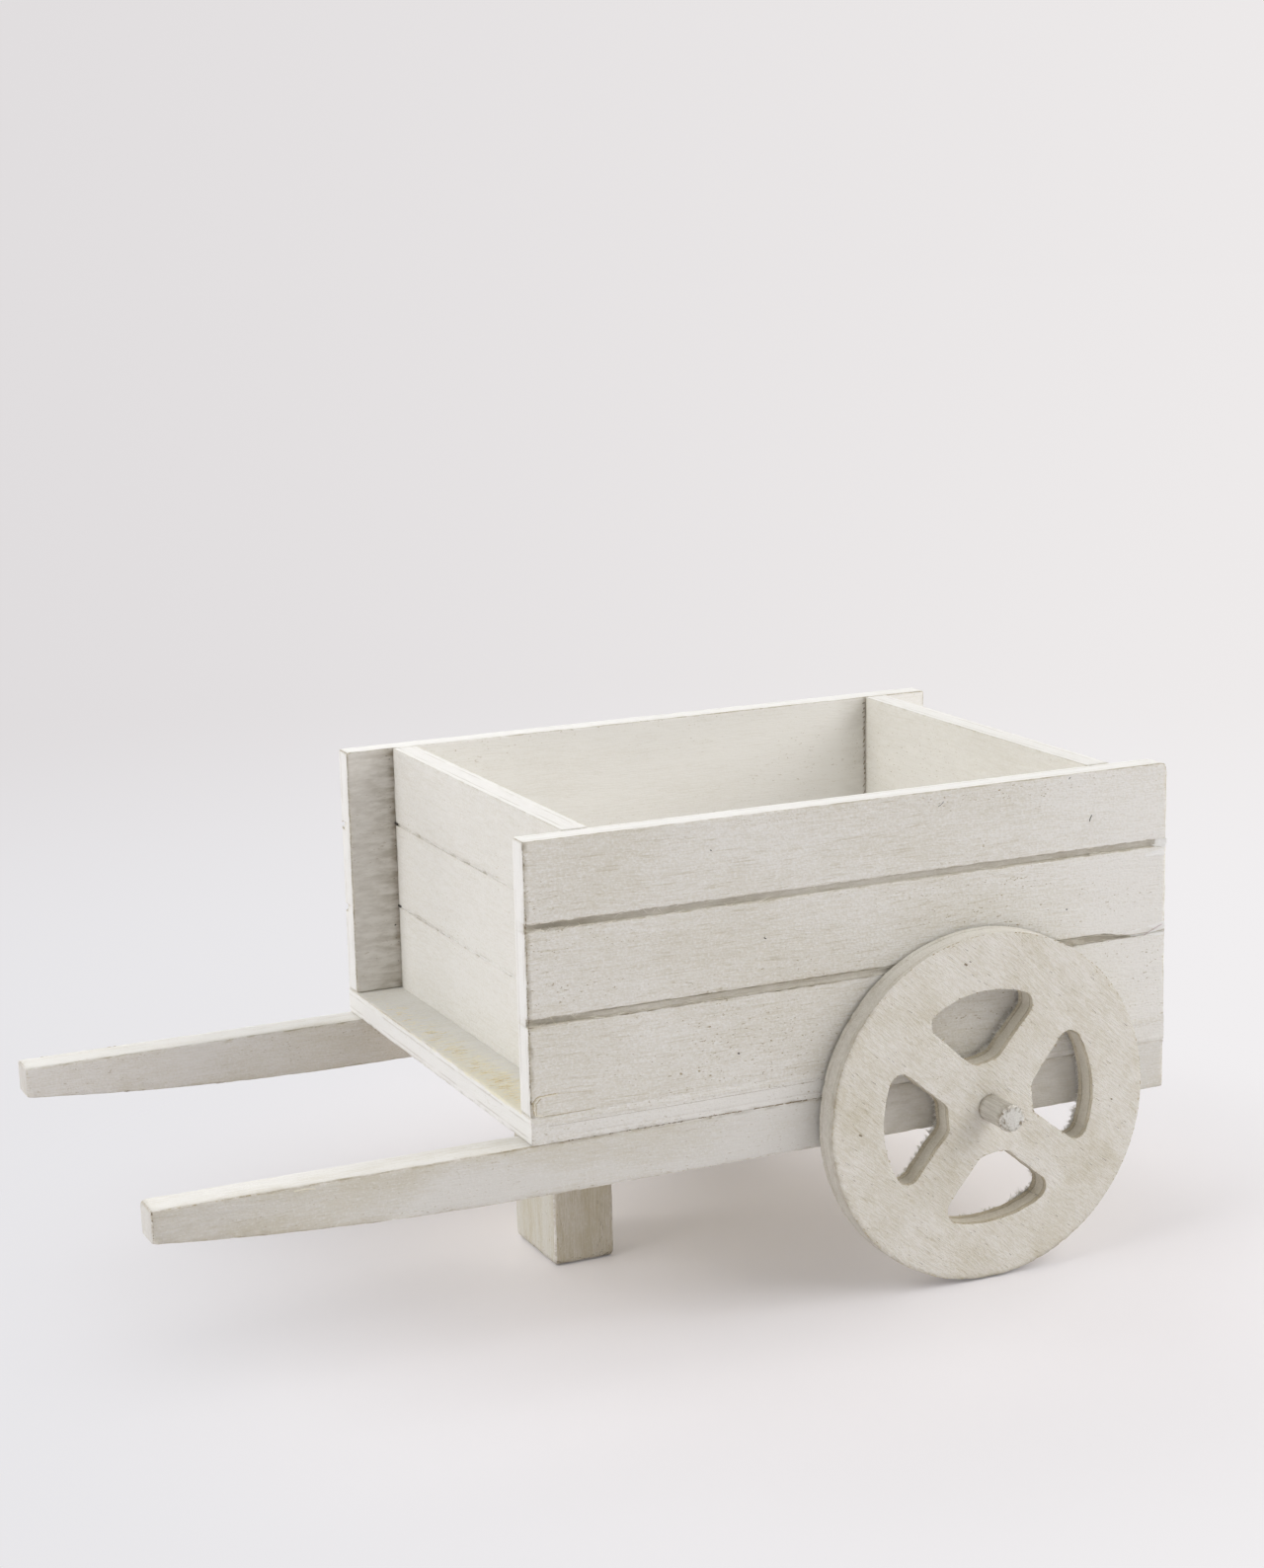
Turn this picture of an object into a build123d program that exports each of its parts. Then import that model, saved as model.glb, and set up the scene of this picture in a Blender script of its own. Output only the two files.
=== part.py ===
# A small two-wheeled tray cart made of painted plywood, in millimetres.
# +X points forward along the shafts, +Y to the cart's left and +Z up.
# The origin is on the ground, at the middle of the cart's length and width.

import os
from math import cos, radians, sin, sqrt

from build123d import *

os.makedirs("parts", exist_ok=True)

# Boards and tray
board_thickness = 6.0
tray_length = 160.0
tray_width = 116.0
side_height = 60.0
end_inset = 11.7

# Saw kerfs that make one board look like three planks
kerf_width = 1.5
kerf_depth = 1.5
top_plank = 17.9
middle_plank = 19.1

# Shafts, which run under the whole tray and reach out in front as handles
shaft_width = 8.5
shaft_height = 11.6
shaft_reach = 82.6
tip_height = 7.2
tip_round = 1.2
tail_round = 0.8

# Wheels and axle
wheel_diameter = 81.0
window_outer_radius = 27.2
window_inner_distance = 11.0
window_corner = 3.0
spoke_count = 4
spoke_width = 11.0
spoke_turn = -5.0
rim_round = 0.4
axle_diameter = 6.0
axle_overhang = 9.6
wood_under_axle = 2.0
axle_from_tail = 51.5
axle_chamfer = 0.5

# Leg
leg_length_x = 15.0
leg_width_y = 23.5
leg_from_front = 31.3
leg_edge = 0.4

# Clearances: the axle turns in the shafts, the wheels are glued on it
running_clearance = 0.08
glue_line = 0.02
wheel_gap = 1.0

# Places that follow from the sizes
wheel_radius = wheel_diameter / 2
axle_radius = axle_diameter / 2
axle_hole_radius = axle_radius + running_clearance
axle_z = wheel_radius
shaft_bottom = axle_z - axle_hole_radius - wood_under_axle
shaft_top = shaft_bottom + shaft_height
floor_top = shaft_top + board_thickness
tail_x = -(tray_length + shaft_reach) / 2
tray_front_x = tail_x + tray_length
tray_middle_x = tail_x + tray_length / 2
tip_x = tray_front_x + shaft_reach
axle_x = tail_x + axle_from_tail
leg_x = tray_front_x - leg_from_front
side_y = tray_width / 2
panel_inner_y = side_y - board_thickness
wheel_inner_y = side_y + wheel_gap
wheel_outer_y = wheel_inner_y + board_thickness
axle_length = 2 * (wheel_outer_y + axle_overhang)
first_kerf = side_height / 2 - top_plank - kerf_width / 2
second_kerf = first_kerf - middle_plank - kerf_width

# Floor board: flush with the sides all round, and a ledge outside each end panel
with BuildPart() as floor_board:
    with BuildSketch(Plane.XY.offset(shaft_top)):
        with Locations((tray_middle_x, 0)):
            Rectangle(tray_length, tray_width)
    extrude(amount=board_thickness)
floor_board.part.label = "floor_board"
export_step(floor_board.part, "parts/floor_board.step")

# Upright panels: each is drawn on its grooved outer face and grows inwards
front_face_x = tray_front_x - end_inset
rear_face_x = tail_x + end_inset
panel_middle_z = floor_top + side_height / 2
end_width = 2 * panel_inner_y
panels = {
    "side_panel_left": (Vector(tray_middle_x, side_y, panel_middle_z), Vector(0, 1, 0), tray_length),
    "side_panel_right": (Vector(tray_middle_x, -side_y, panel_middle_z), Vector(0, -1, 0), tray_length),
    "front_panel": (Vector(front_face_x, 0, panel_middle_z), Vector(1, 0, 0), end_width),
    "rear_panel": (Vector(rear_face_x, 0, panel_middle_z), Vector(-1, 0, 0), end_width),
}
for name, (middle, outward, width) in panels.items():
    outer_face = Plane(origin=middle, x_dir=Vector(0, 0, 1).cross(outward), z_dir=outward)
    with BuildPart() as panel:
        with BuildSketch(outer_face):
            Rectangle(width, side_height)
        extrude(amount=-board_thickness)
        with BuildSketch(outer_face):
            with Locations((0, first_kerf), (0, second_kerf)):
                Rectangle(width, kerf_width)
        extrude(amount=-kerf_depth, mode=Mode.SUBTRACT)
    panel.part.label = name
    export_step(panel.part, f"parts/{name}.step")

# Shafts: straight on top, bored for the axle, with an underside that sweeps up to the tip
for name, outer_y in (("shaft_left", side_y), ("shaft_right", -side_y + shaft_width)):
    side_plane = Plane.XZ.offset(-outer_y)
    with BuildPart() as shaft:
        with BuildSketch(side_plane) as profile:
            with BuildLine():
                Line((tip_x, shaft_top), (tail_x, shaft_top))
                Line((tail_x, shaft_top), (tail_x, shaft_bottom))
                Line((tail_x, shaft_bottom), (tray_front_x, shaft_bottom))
                TangentArc((tray_front_x, shaft_bottom), (tip_x, shaft_top - tip_height), tangent=(1, 0))
                Line((tip_x, shaft_top - tip_height), (tip_x, shaft_top))
            make_face()
            fillet(profile.vertices().group_by(Axis.X)[-1], tip_round)
            fillet(profile.vertices().group_by(Axis.X)[0].sort_by(Axis.Y)[0], tail_round)
        extrude(amount=shaft_width)
        with BuildSketch(side_plane):
            with Locations((axle_x, axle_z)):
                Circle(axle_hole_radius)
        extrude(amount=shaft_width, mode=Mode.SUBTRACT)
    shaft.part.label = name
    export_step(shaft.part, f"parts/{name}.step")

# Leg: one short post under the middle of the floor, as long as the wheels are high
with BuildPart() as leg:
    with BuildSketch():
        with Locations((leg_x, 0)):
            Rectangle(leg_length_x, leg_width_y)
    extrude(amount=shaft_top)
    chamfer(leg.edges().filter_by(Axis.Z), leg_edge)
leg.part.label = "leg"
export_step(leg.part, "parts/leg.step")

# Axle: a dowel right across the cart, whose ends stand out beyond the wheels
with BuildPart() as axle:
    with BuildSketch(Plane.XZ.offset(-axle_length / 2)):
        with Locations((axle_x, axle_z)):
            Circle(axle_radius)
    extrude(amount=axle_length)
    chamfer(axle.edges().filter_by(GeomType.CIRCLE), axle_chamfer)
axle.part.label = "axle"
export_step(axle.part, "parts/axle.step")

# One wheel window, pointing up: two spoke edges, a flat towards the hub and an arc under the rim
spoke_angle = radians(180 / spoke_count)
half_spoke = spoke_width / 2
along_outer = sqrt(window_outer_radius**2 - half_spoke**2)
along_inner = (window_inner_distance - half_spoke * sin(spoke_angle)) / cos(spoke_angle)
inner_x = along_inner * sin(spoke_angle) - half_spoke * cos(spoke_angle)
outer_x = along_outer * sin(spoke_angle) - half_spoke * cos(spoke_angle)
outer_h = along_outer * cos(spoke_angle) + half_spoke * sin(spoke_angle)
with BuildSketch() as window:
    with BuildLine():
        Line((-inner_x, window_inner_distance), (inner_x, window_inner_distance))
        Line((inner_x, window_inner_distance), (outer_x, outer_h))
        ThreePointArc((outer_x, outer_h), (0, window_outer_radius), (-outer_x, outer_h))
        Line((-outer_x, outer_h), (-inner_x, window_inner_distance))
    make_face()
    fillet(window.vertices(), window_corner)

# Wheels: plywood discs with a window between each pair of spokes
for name, far_y in (("wheel_left", wheel_outer_y), ("wheel_right", -wheel_inner_y)):
    with BuildPart() as wheel:
        with BuildSketch(Plane(origin=(axle_x, far_y, axle_z), x_dir=(1, 0, 0), z_dir=(0, -1, 0))):
            Circle(wheel_radius)
            Circle(axle_radius + glue_line, mode=Mode.SUBTRACT)
            with PolarLocations(0, spoke_count, start_angle=spoke_turn):
                add(window.sketch, mode=Mode.SUBTRACT)
        extrude(amount=board_thickness)
        fillet(wheel.edges().filter_by(GeomType.CIRCLE).group_by(SortBy.RADIUS)[-1], rim_round)
    wheel.part.label = name
    export_step(wheel.part, f"parts/{name}.step")
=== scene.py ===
# %% [markdown]
# # A small whitewashed plywood cart
#
# The cart is a tray of five plywood boards on two long battens, with one leg in front and two
# plywood wheels on a dowel. The imported model gives every size and place, so it is loaded first
# and each piece below is built inside the box of the node that it stands for. Its own box is kept
# here.

# %% Load the imported cart
import math
import random
from collections import namedtuple

import bmesh
import bpy
from mathutils import Euler, Matrix, Vector, noise


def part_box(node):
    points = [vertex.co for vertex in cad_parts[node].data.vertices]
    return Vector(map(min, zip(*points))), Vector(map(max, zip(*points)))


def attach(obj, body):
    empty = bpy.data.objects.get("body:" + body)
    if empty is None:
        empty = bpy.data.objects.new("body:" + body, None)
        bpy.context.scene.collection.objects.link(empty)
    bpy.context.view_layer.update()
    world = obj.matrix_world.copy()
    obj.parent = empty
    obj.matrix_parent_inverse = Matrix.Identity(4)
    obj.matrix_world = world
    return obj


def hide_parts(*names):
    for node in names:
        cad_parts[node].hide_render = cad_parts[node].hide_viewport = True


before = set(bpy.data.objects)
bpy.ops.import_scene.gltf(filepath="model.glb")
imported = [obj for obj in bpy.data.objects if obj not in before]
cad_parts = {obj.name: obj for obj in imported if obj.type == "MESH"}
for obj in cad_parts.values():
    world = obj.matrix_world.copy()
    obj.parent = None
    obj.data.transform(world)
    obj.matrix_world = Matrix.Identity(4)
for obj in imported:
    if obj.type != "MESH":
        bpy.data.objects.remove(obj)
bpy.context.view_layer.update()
MM = 0.001

# %% [markdown]
# ## Camera
#
# The picture was taken from the front left of the cart, a little above the tray. The eye, the
# turn and the lens come from matching the cart's known corners to the picture. The sensor is
# 36 mm on the long side of the upright frame, so the lens is given for that side.

# %% Set up the camera
EYE = Vector((0.25932, 0.59937, 0.24772))
VIEW = Vector((-0.40462, -0.89100, -0.20591))
ROLL = math.radians(-1.372)
LENS, SENSOR = 66.616, 36.0


def add_object(name, data):
    """A new object in the scene."""
    made = bpy.data.objects.new(name, data)
    bpy.context.scene.collection.objects.link(made)
    return made


camera_data = bpy.data.cameras.new("camera")
camera_data.sensor_width = SENSOR
camera_data.lens = LENS
camera_data.clip_start, camera_data.clip_end = 0.01, 50.0
camera = add_object("camera", camera_data)
camera.location = EYE
camera.rotation_mode = "QUATERNION"
camera.rotation_quaternion = VIEW.to_track_quat("-Z", "Y") @ Euler((0, 0, ROLL)).to_quaternion()
bpy.context.scene.camera = camera
print("camera turned", [round(math.degrees(a), 2) for a in camera.rotation_quaternion.to_euler()])

# %% [markdown]
# ## Shader nodes in few words
#
# Every surface here is a tree of shader nodes. Written out, a node takes three or four lines: make
# it, set its options, link its sockets. These helpers do that in one call, so that a material below
# reads like arithmetic.

# %% Helpers for shader nodes
def connect(tree, socket, value):
    """Links a socket to a node's output, or sets a plain value on it."""
    if isinstance(value, bpy.types.NodeSocket):
        tree.links.new(value, socket)
    elif socket.type == "RGBA" and len(value) == 3:
        socket.default_value = (*value, 1.0)
    else:
        socket.default_value = value


def put(tree, kind, *values, **named):
    """Adds a node. Plain values fill its inputs in order, capitalised names are inputs."""
    made = tree.nodes.new("ShaderNode" + kind)
    for key, value in named.items():
        if key[0].isupper():
            connect(tree, made.inputs[key.replace("_", " ")], value)
        else:
            setattr(made, key, value)
    for socket, value in zip(made.inputs, values):
        connect(tree, socket, value)
    return made


def sums(tree, operation, *values, clamp=False):
    """One step of arithmetic."""
    return put(tree, "Math", *values, operation=operation, use_clamp=clamp).outputs[0]


def blend(tree, amount, first, second):
    """Mixes two colours."""
    made = tree.nodes.new("ShaderNodeMix")
    made.data_type, made.clamp_factor = "RGBA", True
    for slot, value in ((0, amount), (6, first), (7, second)):
        connect(tree, made.inputs[slot], value)
    return made.outputs[2]


def ramp(tree, value, start, end, low=0.0, high=1.0):
    """Turns the part of a value from start to end into a soft step from low to high."""
    made = put(tree, "MapRange", value, start, end, low, high, interpolation_type="SMOOTHSTEP")
    return made.outputs[0]


def new_material(name):
    """A material, its node tree, its shader and its object coordinates."""
    material = bpy.data.materials.new(name)
    material.use_nodes = True
    tree = material.node_tree
    shader = tree.nodes["Principled BSDF"]
    return material, tree, shader, put(tree, "TexCoord").outputs["Object"]


print("node helpers ready")

# %% [markdown]
# ## Studio floor
#
# The cart stands in a pale studio with no horizon. One way is a bent backdrop, but it would hide
# the cart from behind, so this scene has a wide flat floor. Near the tray it takes shadows like
# paper, but a small share of the glow is mixed in even there, as painted light that lifts the
# shadow. Further out it fades into an even glow, a little darker to the left, which meets the
# world without a line. Only rays that look at the floor see that glow, so it doesn't light the cart.

# %% Floor
FLOOR_COLOUR = (0.883, 0.864, 0.890)
FLOOR_RADIUS, FLOOR_DROP = 6.0, 0.0002
FAR_LEFT, FAR_RIGHT = (0.735, 0.712, 0.722), (0.860, 0.835, 0.835)
NEAR_LEFT, NEAR_RIGHT = (0.800, 0.792, 0.815), (0.880, 0.862, 0.872)
PICTURE_RIGHT, TRAY_MIDDLE = (-0.908, 0.418, 0.0), (-0.04, 0.02, 0.0)
# LEAST_HAZE is the share of glow mixed in even under the tray: painted light that lifts the cast shadow.
FADE, FAR_FADE, LEAST_HAZE = (0.085, 0.20), (0.28, 0.80), 0.09
SIDEWAYS = (-0.4, 0.4)


def seen_directly(tree):
    """One for rays that look at a surface, nought for rays that carry its light to others."""
    path = put(tree, "LightPath").outputs
    seen = sums(tree, "MAXIMUM", path["Is Camera Ray"], path["Is Glossy Ray"])
    return sums(tree, "MAXIMUM", seen, path["Is Transmission Ray"])


def rightwards(tree, place):
    """How far to the right of the picture a place or a direction lies."""
    return put(tree, "VectorMath", place, PICTURE_RIGHT, operation="DOT_PRODUCT").outputs["Value"]


def mesh_from(name, bm):
    """Turns a bmesh into mesh data."""
    data = bpy.data.meshes.new(name)
    bm.to_mesh(data)
    bm.free()
    return data


floor_mesh = bmesh.new()
bmesh.ops.create_circle(floor_mesh, cap_ends=True, segments=96, radius=FLOOR_RADIUS)
bmesh.ops.translate(floor_mesh, verts=floor_mesh.verts, vec=(0, 0, -FLOOR_DROP))
floor_data = mesh_from("studio_floor", floor_mesh)
floor = add_object("studio_floor", floor_data)
paper, tree, shader, place = new_material("studio_paper")
shader.inputs["Roughness"].default_value = 0.9
shader.inputs["Specular IOR Level"].default_value = 0.1
shader.inputs["Base Color"].default_value = (*FLOOR_COLOUR, 1.0)
from_tray = put(tree, "VectorMath", place, TRAY_MIDDLE, operation="SUBTRACT").outputs[0]
distance = put(tree, "VectorMath", from_tray, operation="LENGTH").outputs["Value"]
aside = sums(tree, "DIVIDE", rightwards(tree, place), sums(tree, "ADD", distance, 0.3))
tilt = ramp(tree, aside, *SIDEWAYS)
near_tone, far_tone = blend(tree, tilt, NEAR_LEFT, NEAR_RIGHT), blend(tree, tilt, FAR_LEFT, FAR_RIGHT)
haze = put(tree, "Emission", blend(tree, ramp(tree, distance, *FAR_FADE), near_tone, far_tone), 1.0)
amount = sums(tree, "MULTIPLY", ramp(tree, distance, *FADE, LEAST_HAZE), seen_directly(tree))
faded = put(tree, "MixShader", amount, shader.outputs[0], haze.outputs[0])
connect(tree, tree.nodes["Material Output"].inputs["Surface"], faded.outputs[0])
floor_data.materials.append(paper)
print("floor is", 2 * FLOOR_RADIUS, "m wide")

# %% [markdown]
# ## World and lamps
#
# The world shows the same pale tones as the far floor, and gives only a weak light of its own. The
# strongest lamp stands low behind the cart, so the side that faces the camera is a little grey and
# the top edges shine. Three more stand higher round it: at the front, at the tail and behind the
# camera on the right. All are large, so the shadow under the tray is soft, and all of it together
# is low enough that white paint doesn't burn out.

# %% World
GLOW_COLOUR, GLOW_LEVEL = (0.99, 0.99, 1.0), 0.15
world = bpy.data.worlds.new("studio")
bpy.context.scene.world = world
world.use_nodes = True
tree = world.node_tree
tree.nodes.clear()
glow = put(tree, "Background", GLOW_COLOUR, GLOW_LEVEL)
tilt = ramp(tree, rightwards(tree, put(tree, "TexCoord").outputs["Generated"]), *SIDEWAYS)
backdrop = put(tree, "Background", blend(tree, tilt, FAR_LEFT, FAR_RIGHT), 1.0)
mixed = put(tree, "MixShader", seen_directly(tree), glow.outputs[0], backdrop.outputs[0])
put(tree, "OutputWorld", mixed.outputs[0])
print("world lights with", GLOW_LEVEL)

# %% Lamps
LAMP_WHITE, LAMP_WIDTH = (1.0, 0.985, 0.965), 1.6
GROUND, TRAY_TOP = (0, 0, 0), (0, 0, 0.13)
LAMPS = [("back_lamp", (0.0, -1.90, 0.645), TRAY_TOP, 1.33, 24.5),
         ("front_lamp", (1.64, 0.0, 1.147), GROUND, LAMP_WIDTH, 22.0),
         ("right_lamp", (-1.16, 1.16, 1.147), GROUND, LAMP_WIDTH, 18.7),
         ("tail_lamp", (-1.64, 0.0, 1.147), GROUND, LAMP_WIDTH, 17.4)]
for name, place, target, height, watts in LAMPS:
    data = bpy.data.lights.new(name, "AREA")
    data.shape, data.size, data.size_y = "RECTANGLE", LAMP_WIDTH, height
    data.energy, data.color = watts, LAMP_WHITE
    lamp = add_object(name, data)
    lamp.location = place
    lamp.visible_camera = False
    lamp.rotation_euler = (Vector(target) - Vector(place)).to_track_quat("-Z", "Y").to_euler()
    print(name, watts, "W")
bpy.context.scene.view_settings.view_transform = "Standard"

# %% [markdown]
# ## Wood grain
#
# The boards are cheap plywood with a soft open grain. From nearby it shows as thin fibres, wider
# bands, blotches where the veneer drank more paint, and short dark pores in clusters. All of them
# are noise that is drawn out along the grain, so one node group makes them for every board. Its
# input has the grain along X, and each material turns its own coordinates to suit.

# %% Helpers for noise and groups
def stretched_noise(tree, place, stretch, detail=2.0, rough=0.55):
    """Noise whose blotches are drawn out: stretch holds the blotches per metre on each axis."""
    scaled = put(tree, "VectorMath", place, stretch, operation="MULTIPLY").outputs[0]
    made = put(tree, "TexNoise", Vector=scaled, Scale=1.0, Detail=detail, Roughness=rough)
    return made.outputs["Fac"]


def new_group(name, inputs, outputs):
    """An empty node group with named sockets, and its input and output nodes."""
    tree = bpy.data.node_groups.new(name, "ShaderNodeTree")
    for label, kind, value in inputs:
        socket = tree.interface.new_socket(label, in_out="INPUT", socket_type="NodeSocket" + kind)
        if value is not None:
            socket.default_value = (*value, 1.0) if kind == "Color" else value
    for label, kind in outputs:
        tree.interface.new_socket(label, in_out="OUTPUT", socket_type="NodeSocket" + kind)
    return tree, tree.nodes.new("NodeGroupInput").outputs, tree.nodes.new("NodeGroupOutput").inputs


print("noise and group helpers ready")

# %% Grain group
grain, into, out = new_group(
    "grain", [("Place", "Vector", None)],
    [(label, "Float") for label in ("Fibre", "Band", "Patch", "Streak", "Pits", "Fleck")])
place = into["Place"]
wander = stretched_noise(grain, place, (25, 60, 60), 1.0)
wander = sums(grain, "MULTIPLY", sums(grain, "SUBTRACT", wander, 0.5), 0.0035)
sway = put(grain, "CombineXYZ", 0.0, wander, wander).outputs[0]
bent = put(grain, "VectorMath", place, sway, operation="ADD").outputs[0]
thick = stretched_noise(grain, bent, (130, 1500, 1500), 3.0, 0.6)
thin = stretched_noise(grain, bent, (250, 4000, 4000), 2.0, 0.6)
fibre = ramp(grain, sums(grain, "MULTIPLY_ADD", thick, 0.6, thin), 0.62, 0.98)
band = ramp(grain, stretched_noise(grain, bent, (14, 210, 210), 3.0, 0.6), 0.30, 0.70)
patch = ramp(grain, stretched_noise(grain, place, (28, 55, 55), 4.0), 0.28, 0.72)
cluster = ramp(grain, stretched_noise(grain, place, (22, 75, 75), 2.0), 0.40, 0.64)
streak = ramp(grain, stretched_noise(grain, bent, (130, 2600, 2600), 2.0), 0.55, 0.72)
pit = ramp(grain, stretched_noise(grain, place, (1000, 2700, 2700), 1.0), 0.675, 0.765)
fleck = ramp(grain, stretched_noise(grain, place, (1500, 2100, 2100), 2.0, 0.6), 0.32, 0.68)
pits = sums(grain, "MULTIPLY", pit, cluster)
for socket, value in zip(out, (fibre, band, patch, streak, pits, fleck)):
    connect(grain, socket, value)
print("grain group has", len(grain.nodes), "nodes")

# %% [markdown]
# ## Whitewash
#
# Thin white paint was wiped over the bare boards. It fills the face, but fibres and bands stay
# a little darker and the pores keep the colour of the wood. So the wash is a mix of a wood colour
# and a paint colour, and the amount of paint rises and falls with the grain. The same values make
# the height for the bump, because the raised fibres are what the paint sits on.

# %% Whitewash group
wash, into, out = new_group(
    "whitewash",
    [("Place", "Vector", None), ("Paint", "Color", (0.80, 0.78, 0.74)), ("Wood", "Color", (0.55, 0.49, 0.40)),
     ("Cover", "Float", 0.8), ("Fine", "Float", 0.3), ("Bands", "Float", 0.2), ("Blotch", "Float", 0.2),
     ("Flecks", "Float", 0.15), ("Specks", "Float", 0.6), ("Rub", "Float", 0.0)],
    [("Color", "Color"), ("Height", "Float"), ("Roughness", "Float")])
STREAK_BROWN, PIT_BROWN, NIB_WHITE = (0.455, 0.386, 0.225), (0.39, 0.315, 0.185), (0.95, 0.943, 0.915)
lines = put(wash, "Group", into["Place"], node_tree=grain).outputs
fine, wide, blot, dust = (sums(wash, "SUBTRACT", lines[label], 0.5)
                          for label in ("Fibre", "Band", "Patch", "Fleck"))
cover = into["Cover"]
for part, share in ((fine, "Fine"), (wide, "Bands"), (blot, "Blotch"), (dust, "Flecks")):
    cover = sums(wash, "MULTIPLY_ADD", part, into[share], cover)
cover = sums(wash, "MULTIPLY_ADD", into["Rub"], -0.55, cover, clamp=True)
coat = blend(wash, cover, into["Wood"], into["Paint"])
stain = sums(wash, "MULTIPLY_ADD", into["Specks"], 0.14, into["Rub"])
stain = sums(wash, "MULTIPLY", lines["Streak"], stain, clamp=True)
coat = blend(wash, stain, coat, STREAK_BROWN)
spots = sums(wash, "MULTIPLY_ADD", into["Rub"], 1.6, into["Specks"], clamp=True)
spots = sums(wash, "MULTIPLY", lines["Pits"], spots)
coat = blend(wash, spots, coat, PIT_BROWN)
nibs = sums(wash, "MULTIPLY", into["Flecks"], 1.9)
nibs = sums(wash, "MULTIPLY", ramp(wash, lines["Fleck"], 0.93, 1.0), nibs, clamp=True)
connect(wash, out["Color"], blend(wash, nibs, coat, NIB_WHITE))
relief = sums(wash, "MULTIPLY", sums(wash, "MULTIPLY", dust, into["Flecks"]), 4.0)
relief = sums(wash, "ADD", fine, relief)
relief = sums(wash, "MULTIPLY_ADD", lines["Streak"], -0.25, relief)
connect(wash, out["Height"], sums(wash, "MULTIPLY_ADD", lines["Pits"], -0.35, relief))
connect(wash, out["Roughness"], ramp(wash, cover, 0.3, 1.0, 0.88, 0.66))
print("whitewash group has", len(wash.nodes), "nodes")

# %% [markdown]
# ## Plies, grime, painted shade and bare wood
#
# Sawn edges show the layers of the plywood as thin lines. Dirt has gathered in the corners where
# the brush didn't reach, shade is painted into some corners and hollows as well, and a few places
# have no paint at all. These depend on where a point is on its board, so each mesh carries small
# attributes for them: depth runs from one face of a board to the other, one value holds the dirt
# and the painted shade together, and bare and rub say how much bare wood and wear there is.

# %% Age group
age, into, out = new_group(
    "age",
    [("Color", "Color", (0.8, 0.8, 0.8)), ("Place", "Vector", None), ("Depth", "Float", 0.0),
     ("Plies", "Float", 0.0), ("Core", "Color", (0.56, 0.53, 0.49)), ("Grime", "Float", 0.0),
     ("Bare", "Float", 0.0)],
    [("Color", "Color")])
GLUE_BROWN, DIRT_AND_SHADE = (0.28, 0.235, 0.15), (0.29, 0.245, 0.175)
BLACK_SPECK, RAW_YELLOW = (0.05, 0.045, 0.04), (0.92, 0.88, 0.71)
place = into["Place"]
wave = stretched_noise(age, place, (130, 400, 400), 3.0)
fold = sums(age, "MULTIPLY_ADD", sums(age, "SUBTRACT", wave, 0.5), 0.10, into["Depth"])
fold = sums(age, "PINGPONG", fold, 0.5)
seam = ramp(age, sums(age, "ABSOLUTE", sums(age, "SUBTRACT", fold, 0.23)), 0.05, 0.012)
broken = ramp(age, stretched_noise(age, place, (95, 95, 95), 2.0), 0.34, 0.60)
core = sums(age, "MULTIPLY", ramp(age, fold, 0.2, 0.27), into["Plies"])
seam = sums(age, "MULTIPLY", sums(age, "MULTIPLY", seam, broken), into["Plies"])
colour = blend(age, sums(age, "MULTIPLY", core, 0.8), into["Color"], into["Core"])
colour = blend(age, sums(age, "MULTIPLY", seam, 0.85), colour, GLUE_BROWN)
# Dirt and painted shade share one dark colour and one value.
smear = ramp(age, stretched_noise(age, place, (230, 760, 760), 4.0), 0.30, 0.72)
smear = sums(age, "MULTIPLY_ADD", smear, 0.50, 0.62)
colour = blend(age, sums(age, "MULTIPLY", into["Grime"], smear, clamp=True), colour, DIRT_AND_SHADE)
spots = stretched_noise(age, place, (650, 1050, 1050), 2.0)
spots = ramp(age, sums(age, "MULTIPLY_ADD", into["Grime"], 0.30, spots), 0.90, 0.97)
spots = sums(age, "MULTIPLY", spots, ramp(age, into["Grime"], 0.05, 0.3))
colour = blend(age, spots, colour, BLACK_SPECK)
worn = stretched_noise(age, place, (240, 1300, 1300), 3.0)
worn = ramp(age, sums(age, "MULTIPLY_ADD", into["Bare"], 0.9, worn), 0.62, 1.05)
worn = sums(age, "MULTIPLY", worn, ramp(age, into["Bare"], 0.0, 0.12))
connect(age, out["Color"], blend(age, worn, colour, RAW_YELLOW))
print("age group has", len(age.nodes), "nodes")

# %% [markdown]
# ## Finishes
#
# The same thin wash looks different on each part: grey and speckled on the sides, nearly clean
# inside, white on sawn ends, brown where it is rubbed off. One could paint each by hand with an image.
# Here every finish is one row of a table for the same two groups, so all of them stay one paint.

# %% How a finish is made
ALONG, ACROSS, UPRIGHT, SLANTED = (0, 0, 0), (0, 0, 90), (0, -90, 0), (0, -40, 0)
finishes = {}


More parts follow.
